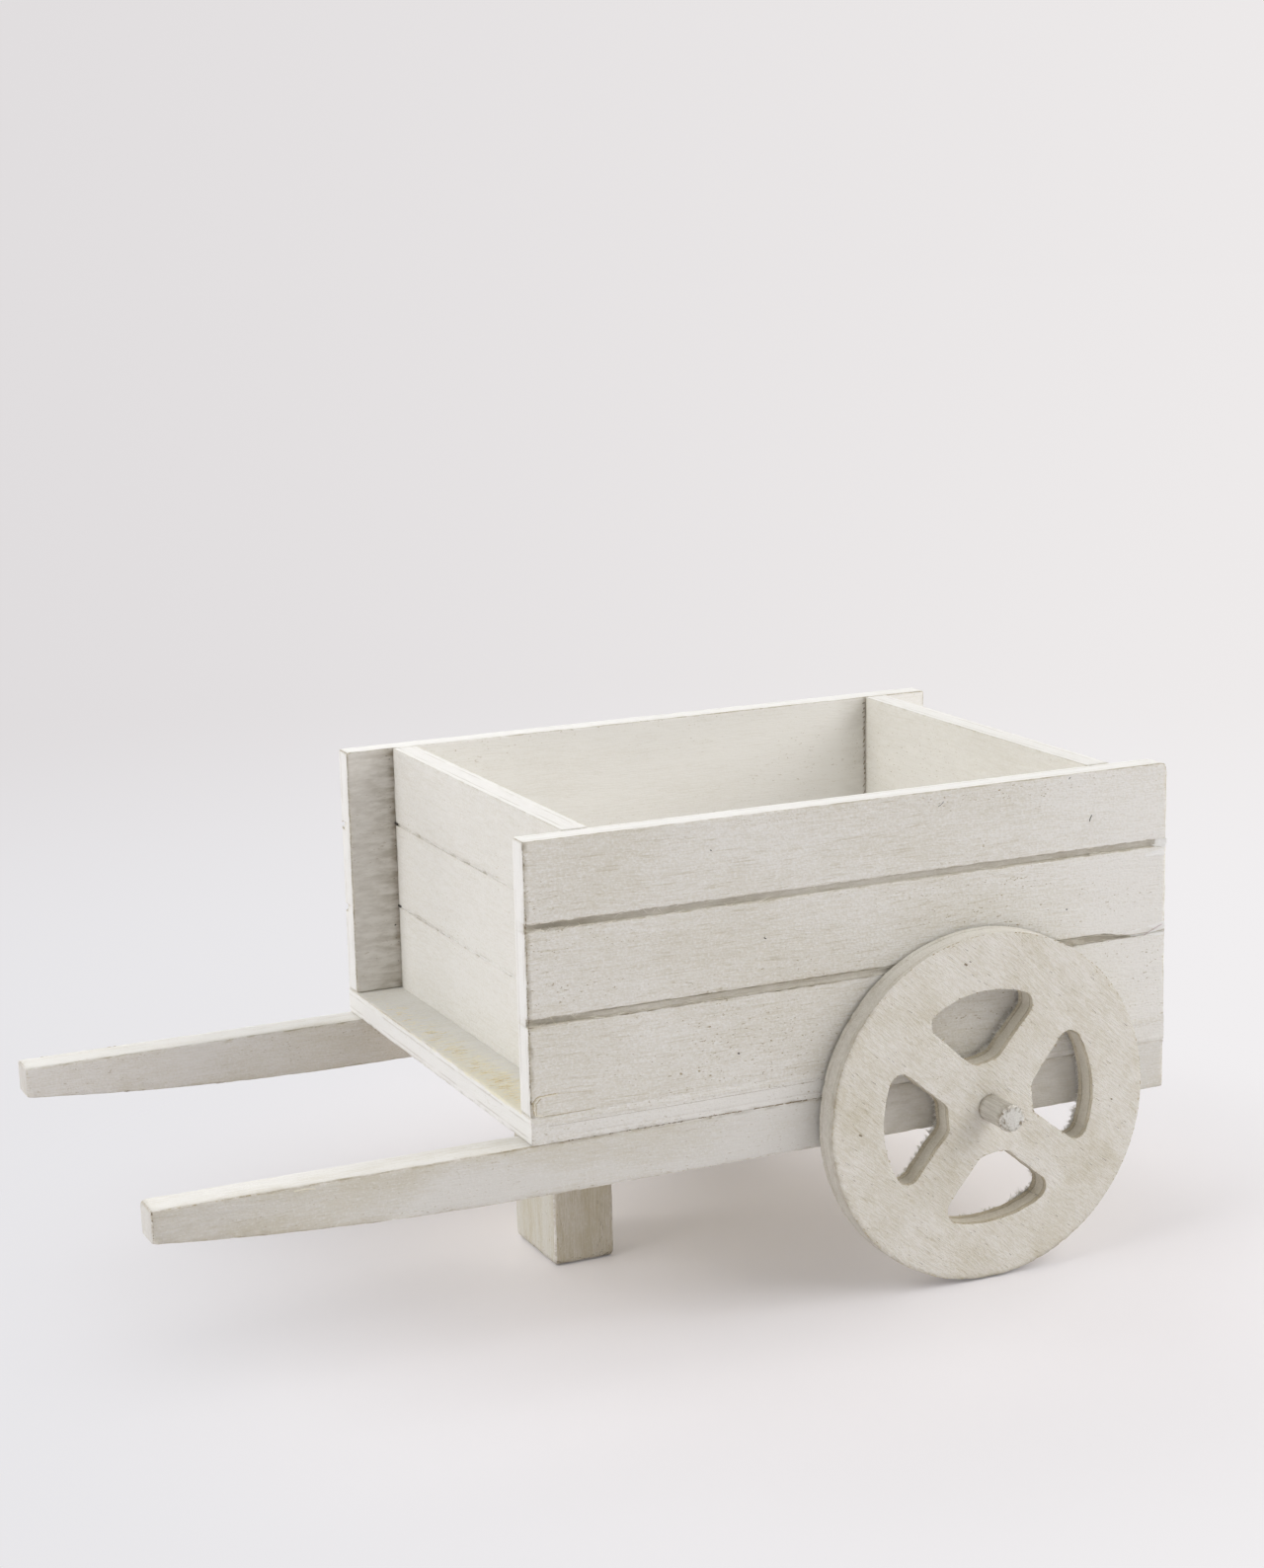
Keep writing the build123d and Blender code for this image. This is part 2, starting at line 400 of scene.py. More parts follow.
def washed(name, turn, paint, wood, cover, fine, bands, blotch, flecks, specks,
           bump=0.08, fineness=1.0, shorten=1.0, plies=0.0, core=(0.72, 0.70, 0.66)):
    """A whitewashed surface. turn says how the grain, which runs along X, is turned on the piece."""
    material, tree, shader, place = new_material(name)
    laid = put(tree, "Mapping", place, (0, 0, 0), [math.radians(a) for a in turn],
               (1 / fineness / shorten, 1 / fineness, 1 / fineness), vector_type="TEXTURE").outputs[0]
    spread = {key: put(tree, "Attribute", attribute_name=key).outputs["Fac"]
              for key in ("rub", "depth", "grime", "bare")}
    coat = put(tree, "Group", node_tree=wash, Place=laid, Paint=paint, Wood=wood, Cover=cover, Fine=fine,
               Bands=bands, Blotch=blotch, Flecks=flecks, Specks=specks, Rub=spread["rub"])
    aged = put(tree, "Group", node_tree=age, Color=coat.outputs["Color"], Place=laid, Plies=plies, Core=core,
               Depth=spread["depth"], Grime=spread["grime"], Bare=spread["bare"])
    relief = put(tree, "Bump", Strength=0.7, Distance=bump * MM, Height=coat.outputs["Height"])
    connect(tree, shader.inputs["Normal"], relief.outputs[0])
    connect(tree, shader.inputs["Base Color"], aged.outputs["Color"])
    connect(tree, shader.inputs["Roughness"], coat.outputs["Roughness"])
    shader.inputs["Specular IOR Level"].default_value = 0.2
    return material


def mix_finishes(*rows, **more):
    """Each row has a name, grain, paint, wood, cover, fine, bands, blotch, flecks, specks and bump."""
    for name, *values in rows:
        finishes[name] = washed(name, *values, **more)
    print("finishes", [row[0] for row in rows])


# %% Finishes of boards, battens and dowel
CREAM, GREY = (0.925, 0.91, 0.865), (0.87, 0.854, 0.815)
TAN, BROWN, RAW = (0.52, 0.452, 0.278), (0.36, 0.285, 0.165), (0.80, 0.71, 0.52)
mix_finishes(
    ("side_face", ALONG, GREY, TAN, 0.93, 0.15, 0.05, 0.16, 0.19, 0.9, 0.07),
    ("end_face", ACROSS, (0.875, 0.864, 0.823), TAN, 0.97, 0.10, 0.04, 0.08, 0.12, 0.6, 0.06),
    ("inner_side", ALONG, (0.965, 0.95, 0.92), TAN, 0.99, 0.06, 0.04, 0.08, 0.06, 0.45, 0.03),
    ("inner_end", ACROSS, CREAM, TAN, 0.97, 0.08, 0.05, 0.10, 0.08, 0.6, 0.04),
    ("floor_face", ALONG, (0.835, 0.826, 0.788), TAN, 0.95, 0.14, 0.08, 0.12, 0.12, 0.5),
    ("underside", ALONG, RAW, TAN, 0.85, 0.40, 0.40, 0.30, 0.10, 0.60),
    ("batten_face", ALONG, (0.770, 0.752, 0.712), TAN, 0.90, 0.14, 0.10, 0.42, 0.12, 0.45, 0.07),
    ("batten_end", UPRIGHT, (0.74, 0.725, 0.69), BROWN, 0.90, 0.20, 0.20, 0.40, 0.10, 0.9, 0.08),
    ("batten_top", ALONG, (0.885, 0.875, 0.845), TAN, 0.98, 0.22, 0.30, 0.14, 0.08, 0.5, 0.07),
    ("batten_inner", ALONG, (0.86, 0.835, 0.80), TAN, 0.88, 0.14, 0.12, 0.30, 0.14, 0.7),
    # The leg's front and near side are one paint in two copies, set apart partly for their own streaks and
    # partly as painted light and shade of each face.
    ("leg_face", UPRIGHT, (0.69, 0.672, 0.612), TAN, 0.87, 0.34, 0.42, 0.14, 0.10, 0.9),
    ("leg_side", UPRIGHT, (0.73, 0.685, 0.60), TAN, 0.85, 0.36, 0.42, 0.16, 0.10, 1.0),
    ("dowel_face", ACROSS, (0.64, 0.615, 0.56), (0.30, 0.265, 0.21), 0.8, 0.5, 0.4, 0.2, 0.04, 0.3, 0.08),
    ("dowel_end", ACROSS, (0.82, 0.81, 0.77), (0.36, 0.32, 0.25), 0.88, 0.20, 0.10, 0.50, 0.10, 0.90, 0.09))
mix_finishes(("floor_side", ALONG, GREY, TAN, 0.95, 0.14, 0.06, 0.14, 0.20, 0.9, 0.08), plies=0.15)
mix_finishes(("wheel_face", SLANTED, (0.868, 0.840, 0.780), TAN, 0.87, 0.25, 0.06, 0.28, 0.12, 0.95, 0.10),
             fineness=1.1, shorten=1.9)

# %% [markdown]
# Sawn edges are white with faint plies, worn edges are brown, and the saw cuts keep some old wood.
# The fibres and the small bits of bare wood and dirt have plain rows of their own.

# %% Finishes of edges, cuts and small bits
WHITE = (0.935, 0.93, 0.91)
mix_finishes(
    ("white_edge", ALONG, WHITE, TAN, 1.0, 0.10, 0.06, 0.06, 0.06, 0.3, 0.05),
    ("white_end", ACROSS, WHITE, TAN, 1.0, 0.10, 0.06, 0.06, 0.06, 0.3, 0.05),
    plies=0.30, core=(0.86, 0.855, 0.835))
mix_finishes(
    ("wheel_edge", SLANTED, (0.80, 0.75, 0.635), (0.42, 0.345, 0.205), 0.78, 0.4, 0.2, 0.4, 0.10, 0.4, 0.10),
    plies=0.50, core=(0.90, 0.885, 0.84))
mix_finishes(
    ("rim_edge", SLANTED, (0.82, 0.795, 0.73), (0.48, 0.42, 0.31), 0.90, 0.34, 0.20, 0.34, 0.10, 0.6, 0.09),
    plies=0.30, core=(0.90, 0.885, 0.85))
mix_finishes(
    ("rubbed_edge", ALONG, (0.88, 0.86, 0.82), BROWN, 0.82, 0.40, 0.35, 0.4, 0.1, 0.5),
    ("rubbed_end", ACROSS, (0.89, 0.875, 0.835), BROWN, 0.86, 0.30, 0.25, 0.3, 0.1, 0.5),
    ("kerf_wood", ALONG, (0.79, 0.762, 0.695), (0.46, 0.41, 0.31), 0.72, 0.3, 0.2, 0.3, 0.1, 0.2),
    ("filled_kerf", ACROSS, (0.89, 0.88, 0.845), (0.46, 0.42, 0.34), 0.92, 0.4, 0.3, 0.5, 0.1, 0.8),
    # rim_arris is white partly for thick paint and partly as a painted highlight on the wheels' edges.
    ("rim_arris", SLANTED, (0.96, 0.945, 0.90), BROWN, 0.97, 0.3, 0.2, 0.3, 0.1, 0.5),
    ("raw_fibre", ALONG, (0.90, 0.875, 0.80), (0.62, 0.54, 0.37), 0.80, 0.3, 0.2, 0.6, 0.1, 0.0),
    ("golden_fibre", ALONG, (1.0, 0.91, 0.66), (0.88, 0.74, 0.45), 0.72, 0.3, 0.2, 0.6, 0.1, 0.0),
    # window_fibre is whiter partly because the fibres are pale and partly as painted light shining through
    # them from behind.
    ("window_fibre", SLANTED, (0.98, 0.97, 0.94), (0.84, 0.79, 0.68), 0.90, 0.3, 0.2, 0.6, 0.1, 0.0),
    ("plum_fibre", ALONG, (0.62, 0.48, 0.50), (0.40, 0.27, 0.29), 0.6, 0.5, 0.2, 0.6, 0.1, 0.0),
    ("tan_bit", ALONG, (0.60, 0.50, 0.31), (0.38, 0.30, 0.17), 0.6, 0.4, 0.3, 0.5, 0.1, 0.0),
    ("brown_bit", ALONG, (0.34, 0.28, 0.19), (0.17, 0.13, 0.08), 0.5, 0.4, 0.3, 0.5, 0.1, 0.0),
    ("dark_bit", ALONG, (0.085, 0.085, 0.075), (0.05, 0.045, 0.04), 0.5, 0.3, 0.3, 0.3, 0.1, 0.0))

# %% [markdown]
# ## Shaping
#
# Every board is sawn, bevelled by hand and then knocked about. So each mesh goes the same way: a
# plain solid, a small bevel on its sharp edges, cuts across it so that there are enough points, and
# then a little wear that pushes the points of the bevels inwards. The faces are numbered by what
# they are, so that each kind can have a finish of its own.

# %% Solids, bevels and cuts
FACE, EDGE, RUBBED, KERF, INSIDE = range(5)


def block(low, high):
    """A box between two corners."""
    bm = bmesh.new()
    bmesh.ops.create_cube(bm, size=1.0)
    bmesh.ops.scale(bm, vec=high - low, verts=bm.verts)
    bmesh.ops.translate(bm, vec=(low + high) / 2, verts=bm.verts)
    return bm


def grow(bm, faces, vector):
    """Pulls flat faces out into a solid."""
    made = bmesh.ops.extrude_face_region(bm, geom=faces)["geom"]
    bmesh.ops.translate(bm, verts=[g for g in made if isinstance(g, bmesh.types.BMVert)], vec=vector)
    bmesh.ops.recalc_face_normals(bm, faces=bm.faces)


def soften(bm, width):
    """Bevels the sharp edges and marks the strips as rubbed."""
    sharp = [e for e in bm.edges if e.is_manifold and e.calc_face_angle() > math.radians(35)]
    made = bmesh.ops.bevel(bm, geom=sharp, offset=width, segments=2, profile=0.5,
                           affect="EDGES", material=-1, clamp_overlap=True)
    for face in made["faces"]:
        if face.material_index != KERF:
            face.material_index = RUBBED


def slice_at(bm, axis, places):
    """Cuts the mesh straight across at some places along one axis."""
    normal = Vector([float(i == axis) for i in range(3)])
    for place in places:
        bmesh.ops.bisect_plane(bm, geom=bm.verts[:] + bm.edges[:] + bm.faces[:], dist=1e-7,
                               plane_co=normal * place, plane_no=normal)


def slice_up(bm, axis, step, margin=0.9 * MM):
    """Cuts the mesh at even steps along one axis, and once more close to each end."""
    places = [v.co[axis] for v in bm.verts]
    low, high = min(places), max(places)
    count = max(1, round((high - low) / step))
    slice_at(bm, axis, [low + (high - low) * i / count for i in range(1, count)])
    if step > 1.5 * margin:
        slice_at(bm, axis, [low + margin, high - margin])


print("shaping helpers ready")

# %% [markdown]
# Wear is smooth noise, and it takes wood off the edges only. It goes in by little more than the
# bevel's width, because the faces would fold over if it went further. How much each point is worn
# is kept as its rub, and the finishes show brown wood there.

# %% Wear
FULL_BEND, MOST_MOVE, BLEED = 0.06, 1.15, 0.45


def soft_step(value, start, end):
    """A smooth step from 0 to 1 between two values."""
    t = min(1.0, max(0.0, (value - start) / (end - start)))
    return t * t * (3 - 2 * t)


def ripple(place, length, seed):
    """Smooth noise from -1 to 1 that rises and falls over about that length."""
    return noise.noise(place / length + Vector((seed * 7.31, seed * 3.17, seed * 5.73)))


def wear(bm, depth, length, seed, bevel, keep=0.15, local=None):
    """Pushes the points of the bevels inwards, not so far that they fold, and notes the rub on each point."""
    bm.normal_update()
    rub_layer = bm.verts.layers.float.new("rub")
    moves = []
    for v in bm.verts:
        bend = min(1.0, (1.0 - min(f.normal.dot(v.normal) for f in v.link_faces)) / FULL_BEND)
        rub = keep + max(0.0, ripple(v.co, length, seed) + 0.5 * ripple(v.co, length / 3.5, seed + 1))
        rub *= bend * (local(v.co) if local else 1.0)
        v[rub_layer] = min(1.0, 0.8 * rub)
        moves.append((v, min(MOST_MOVE * bevel, rub * depth)))
    bled = [max([0.0] + [e.other_vert(v)[rub_layer] for e in v.link_edges]) for v in bm.verts]
    for v, beside in zip(bm.verts, bled):
        v[rub_layer] = max(v[rub_layer], BLEED * beside)
    for v, move in moves:
        v.co -= v.normal * move


def tint(bm, name, amount):
    """Keeps a value for every point of the mesh, which the finishes read by its name."""
    layer = bm.verts.layers.float.new(name)
    for v in bm.verts:
        v[layer] = amount(v.co)


print("wear helpers ready")

# %% [markdown]
# A finished mesh becomes an object that rides on one of the cart's two bodies. A piece that stands
# for a node of the imported model hides that node's mesh, and the small extra pieces only ride along.

# %% From mesh to piece
PLYWOOD, BATTEN = ("cart", "painted_ply"), ("cart", "painted_batten")
WHEEL, DOWEL = ("wheelset", "painted_wheel"), ("wheelset", "painted_dowel")


def finish_piece(name, bm, coats, home, node=None):
    """Makes the mesh an object with some finishes. home holds its body and the name of a material slot, which
    is not used.
    """
    bm.normal_update()
    mesh = mesh_from(name, bm)
    for coat in coats:
        mesh.materials.append(finishes[coat])
    mesh.shade_smooth()
    mesh.set_sharp_from_angle(angle=math.radians(50))
    piece = add_object(name, mesh)
    body, slot = home
    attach(piece, body)
    if node:
        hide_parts(node)
    print(name, len(mesh.polygons), "faces")
    return piece


# %% [markdown]
# ## Side and end boards
#
# Each upright board is one piece of plywood with two saw cuts along its outer face, which make it
# look like three planks. One could cut the grooves out of a box, but it is simpler to draw the
# section once, with the cuts in it, and pull it out to the board's length. It is built lying along X
# with its outer face towards +Y and is turned later.

# %% The blank of a board
Board = namedtuple("Board", "length height thickness seed kerf_width kerf_depth torn")
OPEN_KERF, FILLED_KERF = (1.4 * MM, 1.5 * MM), (0.5 * MM, 0.22 * MM)
KERF_HEIGHTS = (20.75 * MM, 41.35 * MM)
HAIR = 0.1 * MM


def nearest_cut(z):
    """How far a height is from the middle of the nearest saw cut."""
    return min(abs(z - kerf) for kerf in KERF_HEIGHTS)


def board_blank(b):
    """A sharp grooved board from x = 0, with its inner face at y = 0 and its lower edge at z = 0."""
    bm = bmesh.new()
    outline = [(0, 0), (b.thickness, 0)]
    for kerf in KERF_HEIGHTS:
        low, high, deep = kerf - b.kerf_width / 2, kerf + b.kerf_width / 2, b.thickness - b.kerf_depth
        outline += [(b.thickness, low), (deep, low), (deep, high), (b.thickness, high)]
    outline += [(b.thickness, b.height), (0, b.height)]
    section = bm.faces.new([bm.verts.new((0, y, z)) for y, z in outline])
    grow(bm, [section], (b.length, 0, 0))
    for face in bm.faces:
        middle = face.calc_center_median()
        if abs(face.normal.x) > 0.9 or not HAIR < middle.z < b.height - HAIR:
            face.material_index = EDGE
        elif abs(face.normal.z) > 0.9 or HAIR < middle.y < b.thickness - HAIR:
            face.material_index = KERF
        elif middle.y < HAIR:
            face.material_index = INSIDE
    return bm


print("saw cuts at", [round(kerf / MM, 2) for kerf in KERF_HEIGHTS], "mm above the floor board")

# %% [markdown]
# The saw left the lips of the cuts ragged, so they are worn more than the rest, and so are the
# upright edges. Paint and dust have filled the cuts part of the way, the lower one more. The lower
# edge closes tightly on the floor board, so it stays straight and painted.

# %% Wear on the boards
KERF_FILL, UNFILLED_FRONT = (0.76, 0.44), 25 * MM
SIDE_BEVEL, END_BEVEL = 0.28 * MM, 0.22 * MM


def slice_board(bm, b):
    """Adds points all over, and more along the saw cuts and the edges."""
    slice_up(bm, 0, 0.6 * MM)
    slice_up(bm, 2, 2.5 * MM)
    slice_at(bm, 2, [kerf + side * (b.kerf_width / 2 + gap * MM) for kerf in KERF_HEIGHTS
                     for side in (-1, 1) for gap in (0.5, 1.1)])
    slice_at(bm, 2, [0.6 * MM, b.height - 0.6 * MM])
    slice_at(bm, 1, [0.5 * MM, 1.0 * MM, b.thickness - 1.0 * MM, b.thickness - 0.5 * MM])


def wear_board(bm, b, bevel):
    """Wears the lips of the saw cuts, the upright edges and the upper rear corner most."""
    def hard_used(co):
        lip = abs(nearest_cut(co.z) - b.kerf_width / 2) < 0.5 * MM and co.y > b.thickness / 2
        at_end = min(co.x, b.length - co.x) < 0.6 * MM
        ends = 4.0 + b.torn * (co.x < b.length / 2) if at_end else 1.0
        corner = b.torn * (1 - soft_step(co.x, 5 * MM, 20 * MM)) * (co.z > b.height - MM)
        return max(1.5 if lip else 1.0, ends) + 1.8 * corner

    wear(bm, depth=0.28 * MM, length=1.9 * MM, seed=b.seed, bevel=bevel, local=hard_used)


def fill_cuts(bm, b):
    """Raises the bottoms of the saw cuts, unevenly and less towards the front end."""
    thin = bm.verts.layers.float["rub"]
    for v in bm.verts:
        in_cut = v.co.x > 0.4 * MM and nearest_cut(v.co.z) < b.kerf_width / 2 + 0.45 * MM
        if in_cut and b.thickness - 1.4 * b.kerf_depth < v.co.y < b.thickness - 0.6 * b.kerf_depth:
            fill = KERF_FILL[v.co.z > b.height / 2] + 0.16 * ripple(v.co, 22 * MM, b.seed + 3)
            fill += 0.07 * ripple(v.co, 3 * MM, b.seed + 4)
            v.co.y += b.kerf_depth * max(0.0, fill) * soft_step(b.length - v.co.x, 0, UNFILLED_FRONT)
            v[thin] *= 0.3


def close_foot(bm, b):
    """Keeps the lower outer edge straight and painted."""
    thin = bm.verts.layers.float["rub"]
    for v in bm.verts:
        if v.co.z < 0.3 * MM and v.co.y > b.thickness - 0.6 * MM:
            v.co.y = max(v.co.y, b.thickness - 0.06 * MM)
            v[thin] *= 0.2
    for face in bm.faces:
        middle = face.calc_center_median()
        if face.material_index == RUBBED and middle.z < 0.3 * MM and middle.y > b.thickness / 2:
            face.material_index = FACE


print("lower cuts filled to", KERF_FILL[0], "and upper ones to", KERF_FILL[1])

# %% [markdown]
# At the rear end of the near side the wood tore when the saw came out. The lower cut closes to a
# crack there, paint plugs the end of the upper one, and the upper corner is rounded off. The points
# that are already there are moved for it, so the mesh stays closed.

# %% The torn rear end, and a whole board
TEAR_LENGTH, TEAR_TAPER, PLUG_LENGTH, WORN_CORNER = 9.6 * MM, 9.0 * MM, 3.6 * MM, 2 * MM


def tear_rear(bm, b):
    """Closes the rear ends of both cuts and rounds the upper rear corner."""
    bottom = KERF_HEIGHTS[0] - b.kerf_width / 2
    for v in bm.verts:
        corner = Vector((v.co.x, 0, b.height - v.co.z)).length
        if corner < WORN_CORNER:
            pull = (1 - corner / WORN_CORNER) * 0.35 * MM
            v.co += Vector((pull, 0, -pull))
        up = (v.co.z - bottom) / b.kerf_width
        near = v.co.x < TEAR_LENGTH + TEAR_TAPER and v.co.y > b.thickness - 1.5 * b.kerf_depth
        if near and -0.5 < up < 1.5:
            closed = 1 - soft_step(v.co.x, TEAR_LENGTH, TEAR_LENGTH + TEAR_TAPER)
            v.co.z -= b.kerf_width * min(1.0, max(0.0, up)) * 0.92 * closed
            v.co.y = max(v.co.y, b.thickness - 0.25 * MM - b.kerf_depth * (1 - closed))
        beside = abs(v.co.z - KERF_HEIGHTS[1]) < 0.55 * b.kerf_width
        if v.co.x < PLUG_LENGTH + MM and beside and v.co.y > b.thickness - 1.2 * b.kerf_depth:
            closed = 1 - soft_step(v.co.x, PLUG_LENGTH - 1.4 * MM, PLUG_LENGTH + MM)
            v.co.y += max(0.0, b.thickness - 0.15 * MM - v.co.y) * closed
    for face in bm.faces:
        middle = face.calc_center_median()
        filled = PLUG_LENGTH - 0.4 * MM if middle.z > b.height / 2 else TEAR_LENGTH
        if face.material_index == KERF and middle.x < filled:
            face.material_index = EDGE


def upright_board(b):
    """A worn board, still lying along X."""
    bm = board_blank(b)
    bevel = SIDE_BEVEL if b.kerf_depth > 0.5 * MM else END_BEVEL
    soften(bm, bevel)
    slice_board(bm, b)
    wear_board(bm, b, bevel)
    fill_cuts(bm, b)
    close_foot(bm, b)
    if b.torn:
        tear_rear(bm, b)
    tint(bm, "depth", lambda co: co.y / b.thickness)
    return bm


print("the tear is", round(TEAR_LENGTH / MM, 1), "mm long")

# %% [markdown]
# Dirt has stayed where the brush didn't reach, and shade is painted in where little light falls: in
# the inner corners, on the strip of the far side in front of the end board, on the upper part of the
# end boards, in the saw cuts and behind the wheels. Both are worked out from a point's place on the
# whole cart, so they come after the board is turned.

# %% Dirt and painted shade on the boards
FRONT_CORNER, REAR_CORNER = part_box("front_panel")[1].x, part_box("rear_panel")[1].x
FAR_INSIDE, NEAR_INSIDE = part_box("side_panel_right")[1].y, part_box("side_panel_left")[0].y
SIDE_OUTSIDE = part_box("side_panel_left")[1].y
axle_low, axle_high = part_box("axle")
axle_middle = (axle_low + axle_high) / 2


def from_axle(co):
    """How far a point is from the axle's middle line."""
    return math.hypot(co.x - axle_middle.x, co.z - axle_middle.z)


def wheel_shadow(co):
    """One on the sides close to the axle, where the wheels' shadow is painted in, and nought further out."""
    return soft_step(from_axle(co), 38 * MM, 18 * MM)


def side_dirt_and_shade(co):
    """Dirt and painted shade in the corners between the sides and the ends, on the inner faces."""
    if abs(co.y) > abs(FAR_INSIDE) + 0.3 * MM:
        return 0.0
    strip, corner = co.x - FRONT_CORNER, co.x - REAR_CORNER
    # The strips of the sides in front of the end board: dirt, with painted shade growing towards the corner.
    if strip > -MM:
        return 0.62 - 0.22 * soft_step(strip, 0, 9 * MM) + 0.20 * (1 - soft_step(strip, 0, 2.2 * MM))
    # The rear inner corner: a thin dark line and a wider painted shade.
    if corner > -MM:
        return 0.25 * (1 - soft_step(corner, 0, 1.0 * MM)) + 0.26 * (1 - soft_step(corner, 0, 10 * MM))
    return 0.0


def end_dirt_and_shade(co):
    """Dirt and painted shade along the two upright corners of an end board, and painted shade towards its
    top.
    """
    # Dark upright corners are dirt and painted shade, and the darker top is painted shade.
    corner = 1 - soft_step(min(co.y - FAR_INSIDE, NEAR_INSIDE - co.y), 0.1 * MM, 1.4 * MM)
    return 0.40 * corner + 0.075 * soft_step(co.z, 62 * MM, 100 * MM)


def age_side(board, near, low, high, thickness):
    """The near face a little darker towards its front, dirt on the front corner, dirt and painted shade in
    the cuts, and painted shadow behind the wheel.
    """
    thin, dull = board.verts.layers.float["rub"], board.verts.layers.float["grime"]
    for v in board.verts:
        x, outward = v.co.x, abs(v.co.y)
        if near and abs(v.co.y - high.y) < 0.12 * MM:
            v[thin] += 0.32 * soft_step(x, -0.12, -0.05) - 0.14
            v[dull] += 0.05 * soft_step(x, -0.115, -0.04)
        if x > high.x - 0.8 * MM and outward > SIDE_OUTSIDE - 0.8 * MM:
            v[dull] += max(0.0, 0.16 + 0.65 * ripple(v.co, 1.5 * MM, 63))
        depth = thickness / 2 - abs(outward - abs(low.y + high.y) / 2)
        if nearest_cut(v.co.z - low.z) < 0.75 * MM and 0.3 * MM < depth < 1.7 * MM:
            # The upper cuts get dirt and painted shade, more towards the front.
            if v.co.z > (low.z + high.z) / 2:
                v[dull] += 0.06 + 0.16 * soft_step(x, -0.05, 0.03)
            elif near:
                v[dull] += 0.55 * soft_step(x, -0.092, -0.100) * soft_step(x, -0.1125, -0.1105)
        # Painted shadow of the wheel on the outer face.
        if abs(outward - SIDE_OUTSIDE) < 0.12 * MM:
            v[dull] += 0.12 * wheel_shadow(v.co)


print("inner corners at x", round(FRONT_CORNER / MM, 1), "and", round(REAR_CORNER / MM, 1), "mm")

# %% [markdown]
# The four boards differ only in their length, their turn and their finishes. The points along the
# front corners of the sides are kept, because small bruises go on them later.

# %% Upright boards
BOARD_TURNS = {"side_panel_left": 0, "side_panel_right": 180, "front_panel": -90, "rear_panel": 90}
SIDE_COATS = ["side_face", "white_edge", "rubbed_edge", "kerf_wood", "inner_side"]
END_COATS = ["end_face", "white_end", "rubbed_end", "filled_kerf", "inner_end"]
front_corners = {}
for number, (node, turn) in enumerate(BOARD_TURNS.items()):
    low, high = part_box(node)
    size = high - low
    length, thickness = max(size.x, size.y), min(size.x, size.y)
    side, near = node.startswith("side"), node == "side_panel_left"
    kerf = OPEN_KERF if side else FILLED_KERF
    board = upright_board(Board(length, size.z, thickness, number + 1, *kerf, torn=near))
    centred = Matrix.Translation((-length / 2, -thickness / 2, -size.z / 2))
    placed = Matrix.Translation((low + high) / 2) @ Matrix.Rotation(math.radians(turn), 4, "Z") @ centred
    bmesh.ops.transform(board, matrix=placed, verts=board.verts)
    tint(board, "grime", side_dirt_and_shade if side else end_dirt_and_shade)
    if side:
        age_side(board, near, low, high, thickness)
        front_corners[node] = [
            v.co.copy() for v in board.verts
            if v.co.x > high.x - 0.55 * MM and abs(v.co.y) > SIDE_OUTSIDE - 0.55 * MM
            and low.z + MM < v.co.z < high.z - 2 * MM]
    finish_piece(node + "_board", board, SIDE_COATS if side else END_COATS, PLYWOOD, node)

# %% [markdown]
# ## Floor board
#
# The floor is one more plywood board, under the four upright ones, so it starts from a box. It shows
# as a thin edge along the sides and as a narrow ledge outside each end. A line between two plies
# runs along the edge, and the paint is thinner above it. On the front ledge the veneer is torn, and
# raw yellow wood shows towards the near corner.

# %% Floor board
PLY_LINE = 50.85 * MM
floor_low, floor_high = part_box("floor_board")
board = block(floor_low, floor_high)
for face in board.faces:
    face.material_index = FACE if abs(face.normal.z) > 0.9 else KERF if abs(face.normal.y) > 0.9 else EDGE
    if face.normal.z < -0.9:
        face.material_index = INSIDE
soften(board, SIDE_BEVEL)
slice_up(board, 0, 1.6 * MM)
slice_up(board, 1, 1.6 * MM)
slice_up(board, 2, 2.0 * MM)
slice_at(board, 2, [PLY_LINE - 0.1 * MM, PLY_LINE + 0.1 * MM])
wear(board, depth=0.3 * MM, length=2.6 * MM, seed=11, bevel=SIDE_BEVEL)
thin = board.verts.layers.float["rub"]
for v in board.verts:
    if abs(v.co.y) > floor_high.y - 0.7 * MM:
        v.co.y = math.copysign(max(abs(v.co.y), floor_high.y - 0.07 * MM), v.co.y)
        v[thin] = 0.12 if v.co.z > PLY_LINE else 0.3 * v[thin] - 0.08
for face in board.faces:
    middle = face.calc_center_median()
    along = floor_low.x + 0.5 * MM < middle.x < floor_high.x - 0.5 * MM
    if face.material_index == RUBBED and along and abs(middle.y) > floor_high.y - 0.3 * MM:
        face.material_index = KERF


def ledge_wear(co):
    """Bare wood on the front ledge, more of it near the edge and the near corner."""
    if co.z < floor_high.z - 0.5 * MM or co.x < FRONT_CORNER or abs(co.y) > NEAR_INSIDE:
        return 0.0
    edge = soft_step(co.x, FRONT_CORNER - 4 * MM, floor_high.x - 3 * MM)
    return edge * (0.16 + 0.36 * soft_step(co.y, floor_low.y + 10 * MM, floor_high.y - 6 * MM))


def seam_dirt_and_wheel_shadow(co):
    """Broken dirt in the seam between the floor and the shafts, and painted shadow behind the wheels."""
    seam = (co.z < floor_low.z + 0.35 * MM) * max(0.0, 0.08 + 0.55 * ripple(co, 3 * MM, 62))
    return seam + 0.16 * wheel_shadow(co) * (abs(co.y) > floor_high.y - 0.2 * MM)


tint(board, "bare", ledge_wear)
tint(board, "grime", seam_dirt_and_wheel_shadow)
tint(board, "depth", lambda co: (co.z - floor_low.z) / (floor_high.z - floor_low.z))
coats = ["floor_face", "white_end", "rubbed_end", "floor_side", "underside"]
finish_piece("floor_board_ply", board, coats, PLYWOOD, "floor_board")

